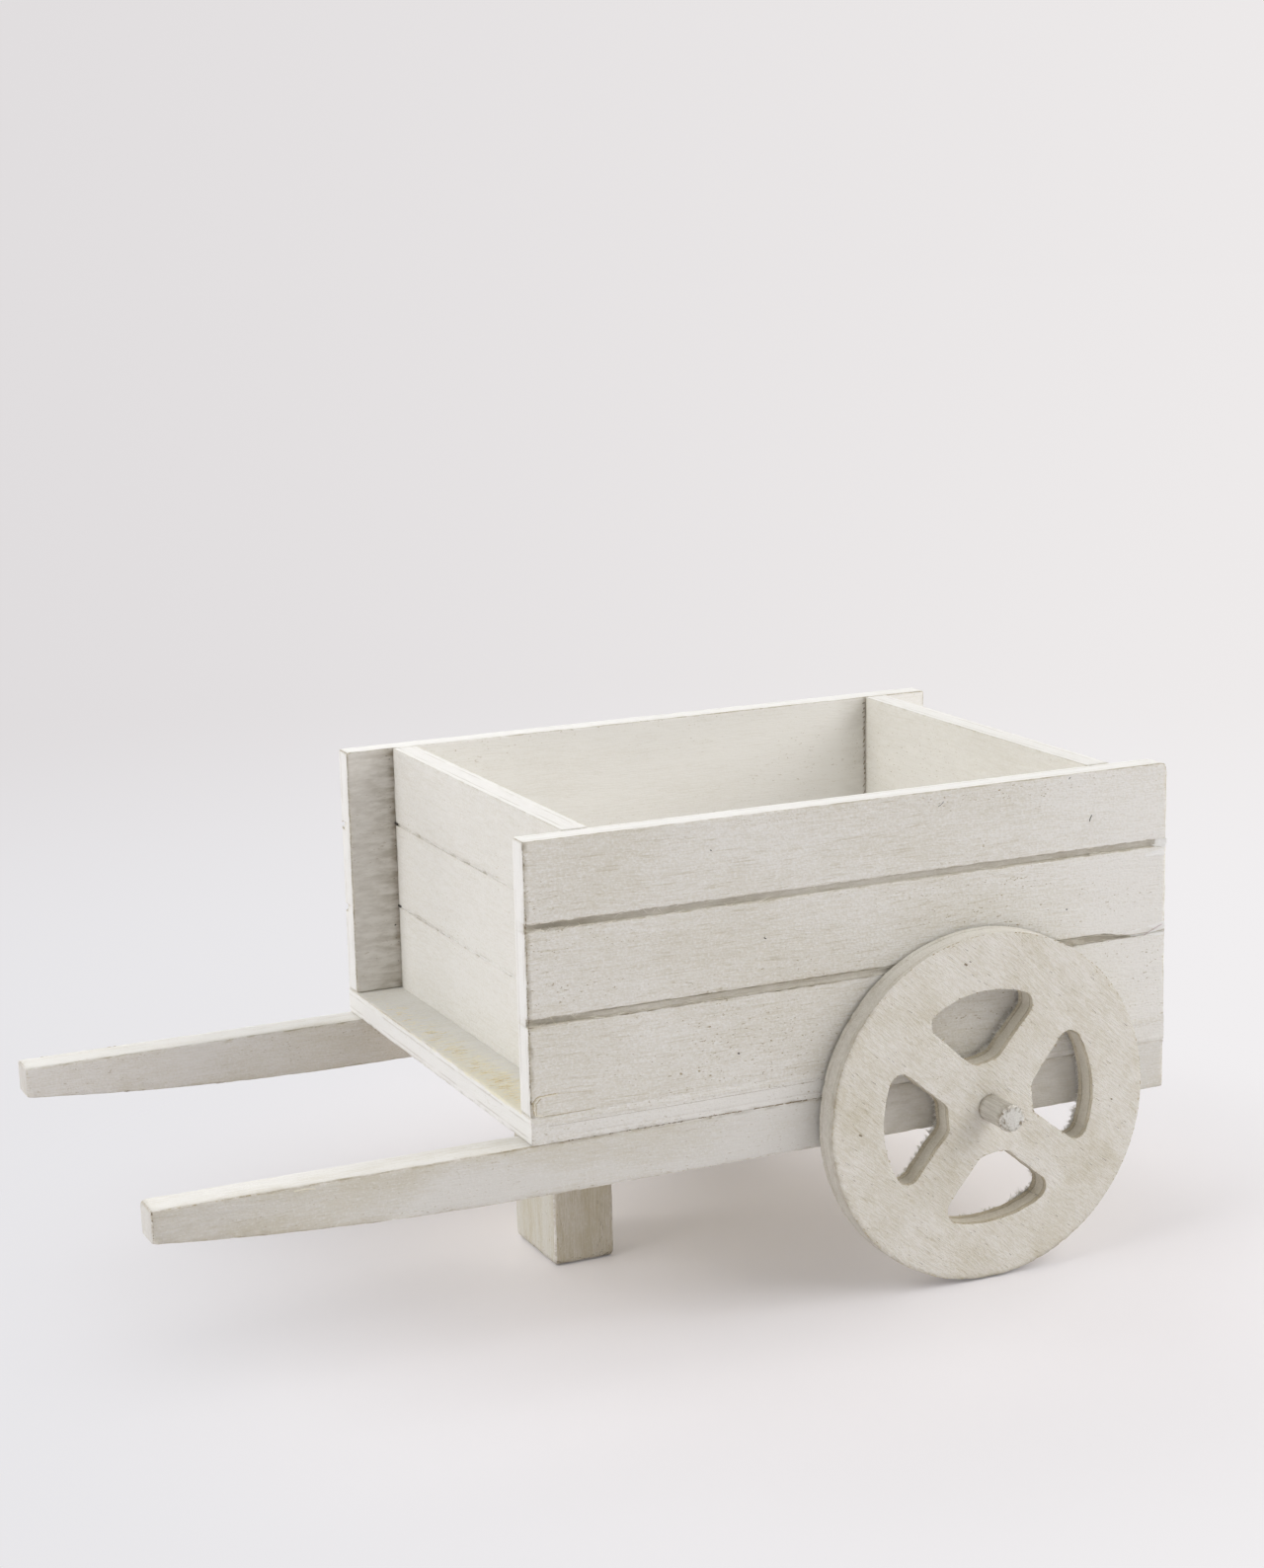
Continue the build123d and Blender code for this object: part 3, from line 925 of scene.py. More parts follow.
# %% [markdown]
# ## Shafts
#
# Two battens carry the floor and reach out in front as handles. Each is straight on top, and its
# underside sweeps up to the tip. The sweep is part of a large circle, so one point is spun along
# it and the outline is closed round it. The axle's hole is cut by a round tool at the end, because
# the bevels and slices would otherwise have to go round it.

# %% Boring, dirt and painted shadow for the shafts
SWEEP_START, TIP_HEIGHT = 38.7 * MM, 7.2 * MM
BORE, TOOL_LENGTH, TOOL_SIDES = 3.08 * MM, 0.3, 40


def bore_through(piece, radius):
    """Cuts a round hole along Y through a piece, at the axle."""
    tool_mesh = bmesh.new()
    bmesh.ops.create_cone(tool_mesh, cap_ends=True, segments=TOOL_SIDES, radius1=radius, radius2=radius,
                          depth=TOOL_LENGTH)
    bmesh.ops.rotate(tool_mesh, verts=tool_mesh.verts, matrix=Matrix.Rotation(math.radians(90), 3, "X"))
    bmesh.ops.translate(tool_mesh, verts=tool_mesh.verts, vec=axle_middle)
    tool_data = mesh_from("bore_tool", tool_mesh)
    tool = add_object("bore_tool", tool_data)
    cut = piece.modifiers.new("bore", "BOOLEAN")
    cut.operation, cut.object, cut.solver = "DIFFERENCE", tool, "EXACT"
    graph = bpy.context.evaluated_depsgraph_get()
    whole, piece.data = piece.data, bpy.data.meshes.new_from_object(piece.evaluated_get(graph))
    piece.modifiers.clear()
    piece.data.name = piece.name
    for leftover in (whole, tool_data):
        bpy.data.meshes.remove(leftover)
    print("bored", piece.name, len(piece.data.polygons), "faces")


def shaft_dirt_and_wheel_shadow(co, top, outer_y):
    """Broken dirt in the seam under the floor, painted shadow behind the wheels and hand marks at the tips.
    """
    seam = (co.x < SWEEP_START and co.z > top - 0.45 * MM) * max(0.0, 0.10 + 0.6 * ripple(co, 3 * MM, 61))
    outside = abs(co.y - outer_y) < 0.1 * MM
    return seam + outside * (0.28 * wheel_shadow(co) + 0.18 * soft_step(co.x, 0.08, 0.115))


print("the hole for the axle is", round(2 * BORE / MM, 2), "mm wide")

# %% Shafts
SHAFT_BEVEL = 0.4 * MM
for number, node in enumerate(("shaft_left", "shaft_right")):
    low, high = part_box(node)
    run, rise = high.x - SWEEP_START, high.z - low.z - TIP_HEIGHT
    radius = (run**2 + rise**2) / (2 * rise)
    batten = bmesh.new()
    first = batten.verts.new((SWEEP_START, low.y, low.z))
    bmesh.ops.spin(batten, geom=[first], cent=(SWEEP_START, low.y, low.z + radius), axis=(0, -1, 0),
                   angle=math.asin(run / radius), steps=16, use_merge=False)
    swept = sorted(batten.verts, key=lambda v: v.co.x)
    corners = [(high.x, high.z), (low.x, high.z), (low.x, low.z)]
    outline = swept + [batten.verts.new((x, low.y, z)) for x, z in corners]
    grow(batten, [batten.faces.new(outline)], (0, high.y - low.y, 0))
    for face in batten.faces:
        inward = face.normal.y * (low.y + high.y) < 0
        face.material_index = EDGE if abs(face.normal.y) < 0.9 else KERF if inward else FACE
        if abs(face.normal.x) > 0.9:
            face.material_index = INSIDE
    soften(batten, SHAFT_BEVEL)
    for axis, step in ((0, 1.3), (2, 2.2), (1, 2.0)):
        slice_up(batten, axis, step * MM)
    wear(batten, depth=0.45 * MM, length=2.6 * MM, seed=21 + number, bevel=SHAFT_BEVEL, keep=0.28,
         local=lambda co: 1.5 if co.z < low.z + 5 * MM else 1.0)
    outer_y = high.y if number == 0 else low.y
    thin = batten.verts.layers.float["rub"]
    for v in batten.verts:
        inset = abs(v.co.y - outer_y)
        if inset < 0.1 * MM:
            v[thin] += 0.24 * soft_step(v.co.x, 0.07, 0.12)
        if v.co.x < SWEEP_START - MM and v.co.z > high.z - 0.6 * MM and inset < 0.7 * MM:
            v.co.y = outer_y - math.copysign(min(0.08 * MM, inset), outer_y)
    tint(batten, "depth", lambda co: (co.y - low.y) / (high.y - low.y))
    tint(batten, "grime", lambda co: shaft_dirt_and_wheel_shadow(co, high.z, outer_y))
    coats = ["batten_face", "batten_top", "rubbed_edge", "batten_inner", "batten_end"]
    bore_through(finish_piece(node + "_batten", batten, coats, BATTEN, node), BORE)

# %% [markdown]
# ## Leg
#
# The leg is a short block of soft wood with its grain upright, so a bevelled box is enough. It
# stands on the table and is moved about, which makes its foot dark and nicked.

# %% Leg
LEG_BEVEL = 0.5 * MM
leg_low, leg_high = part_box("leg")
post = block(leg_low, leg_high)
for face in post.faces:
    face.material_index = EDGE if abs(face.normal.y) > 0.9 else FACE
soften(post, LEG_BEVEL)
for axis in range(3):
    slice_up(post, axis, 1.5 * MM)
wear(post, depth=0.5 * MM, length=3.0 * MM, seed=31, bevel=LEG_BEVEL,
     local=lambda co: 1.6 if co.z < 1.5 * MM else 0.8)


def foot_dirt(co):
    """Dirt on the lowest millimetre."""
    return (0.45 + 0.5 * ripple(co, 4 * MM, 33)) * (1 - soft_step(co.z, 0.2 * MM, 1.4 * MM))


tint(post, "grime", foot_dirt)
finish_piece("leg_block", post, ["leg_face", "leg_side", "rubbed_edge"], BATTEN, "leg")

# %% [markdown]
# ## Wheels
#
# A wheel is a plywood disc with four windows sawn out by hand. An eighth of its face is outlined
# from half a window to half a spoke, mirrored, and turned round the hub four times. Then the whole
# face is pulled out to the board's thickness.

# %% The face of a wheel
WINDOW_OUTER, WINDOW_INNER, HALF_SPOKE, CORNER = 27.2 * MM, 11.0 * MM, 5.5 * MM, 3.0 * MM
HUB, EIGHTH = 3.02 * MM, math.radians(45)


def wheel_eighth(bm, radius):
    """The flat outline from the middle of a window, which points up, to the middle of a spoke."""
    along = Vector((math.sin(EIGHTH), 0, math.cos(EIGHTH)))
    aside = Vector((-math.cos(EIGHTH), 0, math.sin(EIGHTH)))
    outline = []

    def arc(start, end, centre, steps):
        """Spins a point from start to end round a centre."""
        start, end, centre = Vector(start), Vector(end), Vector(centre)
        from_way, to_way = start - centre, end - centre
        turn = from_way.angle(to_way) * (1 if from_way.cross(to_way).y > 0 else -1)
        bmesh.ops.spin(bm, geom=[bm.verts.new(start)], cent=centre, axis=(0, 1, 0), angle=turn,
                       steps=steps, use_merge=False)
        fresh = [v for v in bm.verts if v not in outline]
        outline.extend(sorted(fresh, key=lambda v: (v.co - start).length))

    inset, spread = HALF_SPOKE + CORNER, WINDOW_OUTER - CORNER
    outer = along * math.sqrt(spread**2 - inset**2) + aside * inset
    inner = along * ((WINDOW_INNER + CORNER - inset * math.sin(EIGHTH)) / math.cos(EIGHTH)) + aside * inset
    arc((0, 0, WINDOW_OUTER), outer.normalized() * WINDOW_OUTER, (0, 0, 0), 10)
    arc(outer.normalized() * (WINDOW_OUTER - 0.01 * MM), outer - aside * CORNER, outer, 7)
    arc(inner - aside * CORNER, inner - Vector((0, 0, CORNER)), inner, 5)
    outline.append(bm.verts.new((0, 0, WINDOW_INNER)))
    arc((0, 0, HUB), along * HUB, (0, 0, 0), 6)
    arc(along * radius, (0, 0, radius), (0, 0, 0), 32)
    bm.faces.new(outline)


def wheel_blank(radius, thickness):
    """A sharp windowed disc round the Y axis, with one window upwards and its inner face at y = 0."""
    bm = bmesh.new()
    wheel_eighth(bm, radius)
    bmesh.ops.mirror(bm, geom=bm.verts[:] + bm.edges[:] + bm.faces[:], matrix=Matrix(), axis="X",
                     merge_dist=1e-6)
    bmesh.ops.spin(bm, geom=bm.verts[:] + bm.edges[:] + bm.faces[:], cent=(0, 0, 0), axis=(0, 1, 0),
                   angle=math.radians(270), steps=3, use_duplicate=True, use_merge=False)
    bmesh.ops.remove_doubles(bm, verts=bm.verts, dist=1e-6)
    bmesh.ops.recalc_face_normals(bm, faces=bm.faces)
    grow(bm, bm.faces[:], (0, thickness, 0))
    for face in bm.faces:
        rim = face.calc_center_median().length > WINDOW_OUTER + 4 * MM
        face.material_index = FACE if abs(face.normal.y) > 0.9 else KERF if rim else EDGE
    return bm


print("wheel windows reach from", round(WINDOW_INNER / MM, 1), "to", round(WINDOW_OUTER / MM, 1), "mm")

# %% [markdown]
# The saw wandered, so the windows are bent a little by smooth noise and the rim keeps small flats.
# The middle plies are rougher than the outer ones. The lower front of the rim has met the ground
# most, so it is worn and dirty there.

# %% The worn disc of a wheel
PLY, WHEEL_BEVEL = 1.4 * MM, 0.4 * MM


def low_front(co):
    """One on the lower front of a wheel, where it met the ground, and nought on the upper rear."""
    return soft_step(co.x - 0.7 * co.z, -12 * MM, 14 * MM)


def rim_dirt(co, radius):
    """Dirt on the outermost edge of the lower front."""
    return 0.30 * low_front(co) * soft_step(co.xz.length, radius - 0.9 * MM, radius - 0.3 * MM)


def thin_paint(v, flat, seed):
    """How far the paint of a point is gone: in stains, and a little more at the hub and the rim."""
    stain = ripple(flat, 9 * MM, seed + 8) + 0.7 * ripple(flat, 3 * MM, seed + 9) - 0.1
    used = 0.03 + 0.05 * soft_step(v.co.x, -20 * MM, 25 * MM) + 0.04 * soft_step(v.co.z, 8 * MM, 34 * MM)
    used += 0.05 * soft_step(v.co.z, -14 * MM, -34 * MM) + 0.05 * soft_step(flat.length, 14 * MM, 6 * MM)
    return used + min(0.20, max(0.0, 0.30 * stain))


def wheel_disc(radius, thickness, seed):
    """A worn disc with sawn windows."""
    bm = wheel_blank(radius, thickness)
    soften(bm, WHEEL_BEVEL)
    slice_up(bm, 0, 1.0 * MM)
    slice_up(bm, 2, 1.0 * MM)
    slice_up(bm, 1, 0.8 * MM, margin=0.6 * MM)
    wear(bm, depth=0.3 * MM, length=1.8 * MM, seed=seed, bevel=WHEEL_BEVEL,
         local=lambda co: 3.4 * low_front(co) + 0.2 if co.xz.length > radius - MM else 1.0)
    bm.normal_update()
    thin = bm.verts.layers.float["rub"]
    for v in bm.verts:
        flat = Vector((v.co.x, 0, v.co.z))
        far = flat.length
        v[thin] = max(v[thin], thin_paint(v, flat, seed))
        if far > radius - 1.5 * MM:
            v.co -= flat / far * (0.16 + 0.14 * ripple(flat, 9 * MM, seed + 2)) * MM
        else:
            loose = soft_step(far, HUB + 1 * MM, 10 * MM) * (1 - soft_step(far, 31 * MM, 37 * MM))
            for axis, turn in ((0, seed + 3), (2, seed + 4)):
                bend = 0.55 * ripple(flat, 11 * MM, turn) + 0.16 * ripple(flat, 2.2 * MM, turn + 2)
                v.co[axis] += bend * loose * MM
        if abs(v.normal.y) < 0.5:
            rough = 0.05 + 0.08 * ripple(v.co, 1.1 * MM, seed + 6) + 0.08 * (PLY < v.co.y < thickness - PLY)
            v.co -= Vector((v.normal.x, 0, v.normal.z)) * max(0.0, rough) * MM
    tint(bm, "depth", lambda co: co.y / thickness)
    tint(bm, "grime", lambda co: rim_dirt(co, radius))
    return bm


print("wheel bevel", round(WHEEL_BEVEL / MM, 2), "mm")

# %% [markdown]
# Both wheels stand at the same turn. The far one is the near one's mirror image with other wear. The
# points on the lips and the outer faces are kept, because torn fibres and small marks go there later.

# %% Wheels
WINDOW_TURN = math.radians(-5)
RIM_START = 39.6 * MM
window_lips, wheel_skins = {}, {}


def sort_points(disc, middle, inner_y, outer_y):
    """The points and ways out on the windows' inner lips, and the points of rim, lips and skin outside."""
    lip, rim, front_lip, skin = [], [], [], []
    for v in disc.verts:
        spoke = Vector((v.co.x - middle.x, 0, v.co.z - middle.z)).length
        open_side = Vector((v.normal.x, 0, v.normal.z))
        window = 9 * MM < spoke < 30 * MM and open_side.length > 0.3
        if abs(v.co.y - inner_y) < 0.25 * MM and window:
            lip.append((v.co.copy(), open_side.normalized()))
        if abs(v.co.y - outer_y) < 0.3 * MM and spoke > 5 * MM:
            (rim if spoke > RIM_START else front_lip if window else skin).append(v.co.copy())
    return lip, (rim, front_lip, skin)


for number, node in enumerate(("wheel_left", "wheel_right")):
    low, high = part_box(node)
    disc = wheel_disc((high.z - low.z) / 2, high.y - low.y, 41 + 10 * number)
    middle = (low + high) / 2
    placed = Matrix.Translation((middle.x, low.y, middle.z)) @ Matrix.Rotation(-WINDOW_TURN, 4, "Y")
    inner_y, outer_y = low.y, high.y
    if node == "wheel_right":
        inner_y, outer_y = high.y, low.y
        placed = placed @ Matrix.Translation((0, high.y - low.y, 0)) @ Matrix.Scale(-1, 4, (0, 1, 0))
    bmesh.ops.transform(disc, matrix=placed, verts=disc.verts)
    bmesh.ops.recalc_face_normals(disc, faces=disc.faces)
    disc.normal_update()
    window_lips[node], wheel_skins[node] = sort_points(disc, middle, inner_y, outer_y)
    coats = ["wheel_face", "wheel_edge", "rim_arris", "rim_edge"]
    finish_piece(node + "_disc", disc, coats, WHEEL, node)

# %% [markdown]
# ## Axle
#
# The axle is a six millimetre dowel, sawn off roughly at both ends. A circle is pulled out to a rod,
# its end caps are divided into rings, and then the ends swell and go uneven.

# %% Axle
DOWEL_BEVEL, CAP_RINGS, RING_WIDTH = 0.4 * MM, 7, 0.32 * MM
HUB_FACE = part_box("wheel_left")[1].y
dowel = bmesh.new()
bmesh.ops.create_circle(dowel, cap_ends=True, segments=56, radius=(axle_high.x - axle_low.x) / 2)
bmesh.ops.rotate(dowel, verts=dowel.verts, matrix=Matrix.Rotation(math.radians(-90), 3, "X"))
bmesh.ops.translate(dowel, verts=dowel.verts, vec=(axle_middle.x, axle_low.y, axle_middle.z))
grow(dowel, dowel.faces[:], (0, axle_high.y - axle_low.y, 0))
soften(dowel, DOWEL_BEVEL)
caps = [f for f in dowel.faces if abs(f.normal.y) > 0.99]
for face in caps:
    face.material_index = EDGE
for ring in range(CAP_RINGS):
    bmesh.ops.inset_region(dowel, faces=caps, thickness=RING_WIDTH)
slice_up(dowel, 1, 1.2 * MM)
wear(dowel, depth=0.35 * MM, length=1.1 * MM, seed=51, bevel=DOWEL_BEVEL, keep=0.25,
     local=lambda co: 2.2 if abs(co.y) > axle_high.y - MM else 1.0)
for v in dowel.verts:
    swell = 0.26 * soft_step(abs(v.co.y), axle_high.y - 3 * MM, axle_high.y)
    swell *= 1 + ripple(v.co, 1.2 * MM, 53)
    around = Vector((v.co.x - axle_middle.x, 0, v.co.z - axle_middle.z))
    v.co += around * swell * MM / max(around.length, MM)
    if abs(v.co.y) > axle_high.y - 0.5 * MM:
        v.co.y -= math.copysign(0.22 * MM * abs(ripple(v.co, 0.9 * MM, 52)), v.co.y)


def dowel_dirt(co):
    """A dark ring where the dowel leaves the wheel, and brown bruises round its sawn ends."""
    ring = 0.8 * (1 - soft_step(abs(abs(co.y) - HUB_FACE), 0.2 * MM, 0.9 * MM))
    end = soft_step(abs(co.y), axle_high.y - 1.6 * MM, axle_high.y - 0.8 * MM)
    end *= soft_step(from_axle(co), 1.3 * MM, 2.4 * MM)
    return max(ring, end * max(0.0, 0.10 + 1.9 * ripple(co, 0.5 * MM, 54)))


tint(dowel, "grime", dowel_dirt)
sawn_rim = [v.co.copy() for v in dowel.verts
            if abs(v.co.y) > axle_high.y - 0.5 * MM and from_axle(v.co) > 1.9 * MM]
finish_piece("axle_dowel", dowel, ["dowel_face", "dowel_end", "rubbed_edge"], DOWEL, "axle")

# %% [markdown]
# ## Torn fibres
#
# The saw tore fibres out of the soft wood. They stand in the windows behind the wheels, lie across
# the saw cuts and stick up on the ledge. Hair particles would do for a picture, but they are no solid
# piece. So a fibre is a short thin line that ends in a point: each bunch is drawn as one curve with
# many splines, which a bevel makes solid, and then made a mesh.

# %% Strands and bunches
luck = random.Random(7)
THINNING = 0.92


def strand(root, way, length, width, curl, points):
    """The points and half widths of one fibre, which bends a little at random."""
    here, line = Vector(root), []
    way = Vector(way).normalized()
    for i in range(points):
        line.append((here.copy(), width * (1 - THINNING * i / (points - 1))))
        way = (way + Vector([luck.uniform(-curl, curl) for _ in range(3)])).normalized()
        here += way * (length / (points - 1))
    return line


def bunch(name, strands, coat, home):
    """One mesh of many fibres."""
    curve = bpy.data.curves.new(name, "CURVE")
    curve.dimensions, curve.bevel_depth, curve.bevel_resolution, curve.use_fill_caps = "3D", 1.0, 0, True
    for line in strands:
        spline = curve.splines.new("POLY")
        spline.points.add(len(line) - 1)
        for point, (place, width) in zip(spline.points, line):
            point.co, point.radius = (*place, 1.0), width
    drawn = add_object(name + "_line", curve)
    solid = bmesh.new()
    solid.from_mesh(drawn.to_mesh())
    bpy.data.objects.remove(drawn)
    bmesh.ops.recalc_face_normals(solid, faces=solid.faces)
    finish_piece(name, solid, [coat], home)


def jitter(x, y, z):
    """A random shift of up to so much on each axis."""
    return Vector([luck.uniform(-reach, reach) for reach in (x, y, z)])


print("fibre helpers ready")

# %% [markdown]
# In the windows the fibres stand where the saw went across the grain of the wheel, and along the
# grain the lips are clean. So the share of fibres follows the angle between a lip and the grain.

# %% Fibres in the windows
GRAIN_WAY = Vector((math.cos(math.radians(40)), 0, math.sin(math.radians(40))))
TUFT, ROOT = 5, 0.3
for node, lip in window_lips.items():
    strands = []
    for root, way in lip:
        torn = soft_step(abs(way.dot(GRAIN_WAY)), 0.40, 0.92)
        torn *= min(1.0, max(0.0, 0.65 + ripple(root, 5 * MM, 71)))
        if torn < 0.15:
            continue
        for _ in range(TUFT):
            length = min(2.2, 0.30 + luck.expovariate(2.0)) * torn * MM
            way_out = way + jitter(0.35, 0.2, 0.35)
            root_in = root + jitter(0.5, 0.2, 0.5) * MM - way * ROOT * MM
            width = luck.uniform(0.05, 0.12) * MM
            strands.append(strand(root_in, way_out, length + ROOT * MM, width, curl=0.14, points=3))
    bunch(node + "_fibres", strands, "window_fibre", WHEEL)

# %% [markdown]
# Across the saw cuts lie single pale fibres, more of them towards the front, where the cuts are open.
# Some bridge a cut, and the rest lie along its lips.

# %% Fibres in the saw cuts
SIDE = 58
SIDE_Y, SIDE_FRONT, SIDE_REAR = SIDE * MM, 38.7 * MM, -121.3 * MM
FLOOR_TOP = 53.02 * MM
CUT_FIBRES, BRIDGES, EITHER_LIP = 90, 34, 51
for node, side in (("side_panel_left", 1), ("side_panel_right", -1)):
    strands = []
    for height in [FLOOR_TOP + kerf for kerf in KERF_HEIGHTS]:
        for kind in range(CUT_FIBRES):
            x = SIDE_FRONT - 2 * MM - (SIDE_FRONT - SIDE_REAR - 8 * MM) * luck.random() ** 1.9
            across = kind < BRIDGES
            lip = luck.choice((-1, 1)) if kind < EITHER_LIP else 1
            y = side * (SIDE_Y - luck.uniform(0.1, 0.4) * MM)
            root = Vector((x, y, height - lip * luck.uniform(0.7, 1.0) * MM))
            rise = luck.uniform(0.4, 1.2) if across else luck.uniform(0.0, 0.22)
            way = Vector((luck.choice((-1, 1)), side * luck.uniform(0, 0.12), lip * rise))
            length = luck.uniform(0.8, 1.8) if across else luck.uniform(0.8, 3.6)
            width = luck.uniform(0.05, 0.09) if across else luck.uniform(0.06, 0.13)
            strands.append(strand(root, way, length * MM, width * MM, curl=0.15, points=4))
    bunch(node + "_fibres", strands, "raw_fibre", PLYWOOD)

# %% [markdown]
# The ledge has lost its veneer near the front edge, and short golden fibres lie there along X, most
# of them towards the near corner.

# %% Fibres on the ledge
LEDGE_FIBRES = 260
strands = []
for _ in range(LEDGE_FIBRES):
    y = luck.triangular(-46, 51, 44) * MM
    root = Vector((luck.triangular(31.0, 38.0, 36.5) * MM, y, floor_high.z + luck.uniform(-0.05, 0.0) * MM))
    way = Vector((-1, luck.uniform(-0.3, 0.3), luck.uniform(-0.01, 0.05)))
    length, width = luck.uniform(0.8, 3.0) * MM, luck.uniform(0.06, 0.11) * MM
    strands.append(strand(root, way, length, width, curl=0.06, points=3))
bunch("floor_board_fibres", strands, "golden_fibre", PLYWOOD)

# %% [markdown]
# ## Marks on the near side
#
# The near side has a few marks of its own: some dark nicks and dots where a knot or a grain of dirt
# took no paint, a chip of veneer at the lower front corner and a scratch above it. On the front board
# two small dark marks are painted shade, where its saw cuts end in the far corner. They are drawn
# with the same lines, half sunk into the wood, because an image would have to be painted for each
# board. Places are in millimetres on the cart.

# %% Lines on a face
def mark(points, width, depth=0.03 * MM):
    """A line of points on an upright face, as one fibre with an even width."""
    return [(Vector((x * MM, y * MM - math.copysign(depth, y), z * MM)), width * MM) for x, y, z in points]


def line_at(y, width, *places, depth=0.03 * MM):
    """A line on the face at y, through places that are given by their x and z."""
    return mark([(x, y, z) for x, z in places], width, depth)


def ragged(places, steps=4, reach=0.08):
    """The same line with more places on it, each pushed aside at random."""
    line = []
    for start, end in zip(places, places[1:]):
        for i in range(steps):
            x, z = (a + (b - a) * i / steps for a, b in zip(start, end))
            line.append((x + luck.uniform(-reach, reach), z + luck.uniform(-reach, reach)))
    return line + [places[-1]]


print("mark helpers ready")

# %% Nicks, painted shade at the cut ends, chip and scratch
NICKS = [line_at(SIDE, 0.15, (-100.8, 102.9), (-100.4, 102.2), (-100.2, 101.5)),
         line_at(SIDE, 0.09, (-62.0, 110.4), (-61.4, 109.8), (-60.6, 109.4)),
         line_at(SIDE, 0.12, (-95.0, 112.3), (-94.6, 111.9)),
         line_at(SIDE, 0.17, (-94.1, 81.8), (-94.4, 81.6)),
         line_at(SIDE, 0.20, (-10.2, 60.3), (-10.6, 60.1)),
         line_at(SIDE, 0.14, (-4.4, 106.3), (-4.8, 106.1)),
         line_at(SIDE, 0.15, (-17.0, 85.3), (-17.5, 85.0))]
# Painted shade where the front board's saw cuts end in the far corner.
CUT_END_SHADES = [mark([(27.0, -51.9, z), (27.05, -51.2, z - 0.1), (26.95, -50.7, z - 0.1)], 0.30)
         for z in (94.4, 73.8)]
CHIP = [(32.6, 57.6), (36.6, 57.5), (37.8, 56.6), (37.9, 55.0), (37.7, 53.6), (36.0, 53.3)]
bunch("front_panel_cut_end_shades", CUT_END_SHADES, "dark_bit", PLYWOOD)
bunch("side_panel_left_nicks", NICKS, "dark_bit", PLYWOOD)
bunch("side_panel_left_chip", [line_at(SIDE, 0.24, *ragged(CHIP))], "raw_fibre", PLYWOOD)
chip_lines = [line_at(SIDE, 0.12, *ragged([(x + 0.25, z + 0.25) for x, z in CHIP[:5]])),
              line_at(SIDE, 0.10, *ragged([(x - 0.4, z - 0.3) for x, z in CHIP[1:5]])),
              line_at(SIDE, 0.06, (34.6, 57.9), (30.0, 57.6), (24.4, 57.2)),
              line_at(SIDE, 0.05, *ragged([(35.6, 53.2), (31.0, 53.1), (24.0, 53.2)]))]
bunch("side_panel_left_chip_lines", chip_lines, "tan_bit", PLYWOOD)
bunch("side_panel_left_scratch", [line_at(SIDE, 0.035, (33.5, 59.6), (26.0, 59.3))], "brown_bit", PLYWOOD)

# %% [markdown]
# The line between two plies of the floor board has opened to a crack, which breaks up towards the
# rear. Under the floor the glued seam with the shafts is dirty, in dashes that grow towards the rear.

# %% Crack and seams of the floor board
PLY_CRACK = (34.8, 50.85), (18.0, 50.87), (2.0, 50.83), (-14.0, 50.9), (-29.0, 51.0)
crack = [line_at(SIDE, 0.055, *PLY_CRACK)]
for _ in range(16):
    x, z = luck.uniform(-44, -18), 51.0 + luck.uniform(-0.1, 0.5)
    crack.append(line_at(SIDE, 0.06, (x, z), (x - luck.uniform(0.2, 1.1), z + luck.uniform(-0.1, 0.1))))
bunch("floor_board_crack", crack, "brown_bit", PLYWOOD)
for name, side in (("left", SIDE), ("right", -SIDE)):
    dashes = []
    for _ in range(90):
        x = 36 - 76 * luck.random() ** 0.75
        rear = soft_step(x, 12, -34)
        start = (x, 47.02 + luck.uniform(-0.16, 0.1))
        end = (x - luck.uniform(0.2, 0.5 + 1.6 * rear), 47.0)
        dashes.append(line_at(side, luck.uniform(0.05, 0.09 + 0.05 * rear), start, end))
    bunch("floor_board_seam_" + name, dashes, "brown_bit", PLYWOOD)

# %% [markdown]
# In the rear corners of the tray the brush stopped short and left small brown strokes, one above
# the other. They stand a little proud of the sides.

# %% Strokes in the rear corners
STROKE_HEIGHTS = (54.0, 111)
strokes = []
for corner_y in (FAR_INSIDE / MM, NEAR_INSIDE / MM):
    x, z = REAR_CORNER / MM + 0.12, STROKE_HEIGHTS[0]
    while z < STROKE_HEIGHTS[1]:
        z += luck.uniform(0.7, 2.0)
        end = (x + luck.uniform(0.0, 0.7), z - luck.uniform(0.3, 1.1))
        start = (x, min(z, STROKE_HEIGHTS[1] + 0.5))
        strokes.append(line_at(corner_y, luck.uniform(0.07, 0.17), start, end, depth=-0.02 * MM))
bunch("rear_panel_strokes", strokes, "brown_bit", PLYWOOD)

# %% [markdown]
# The leg has open pores along one growth ring on its near face, and scrapes round its foot on both
# faces that show.

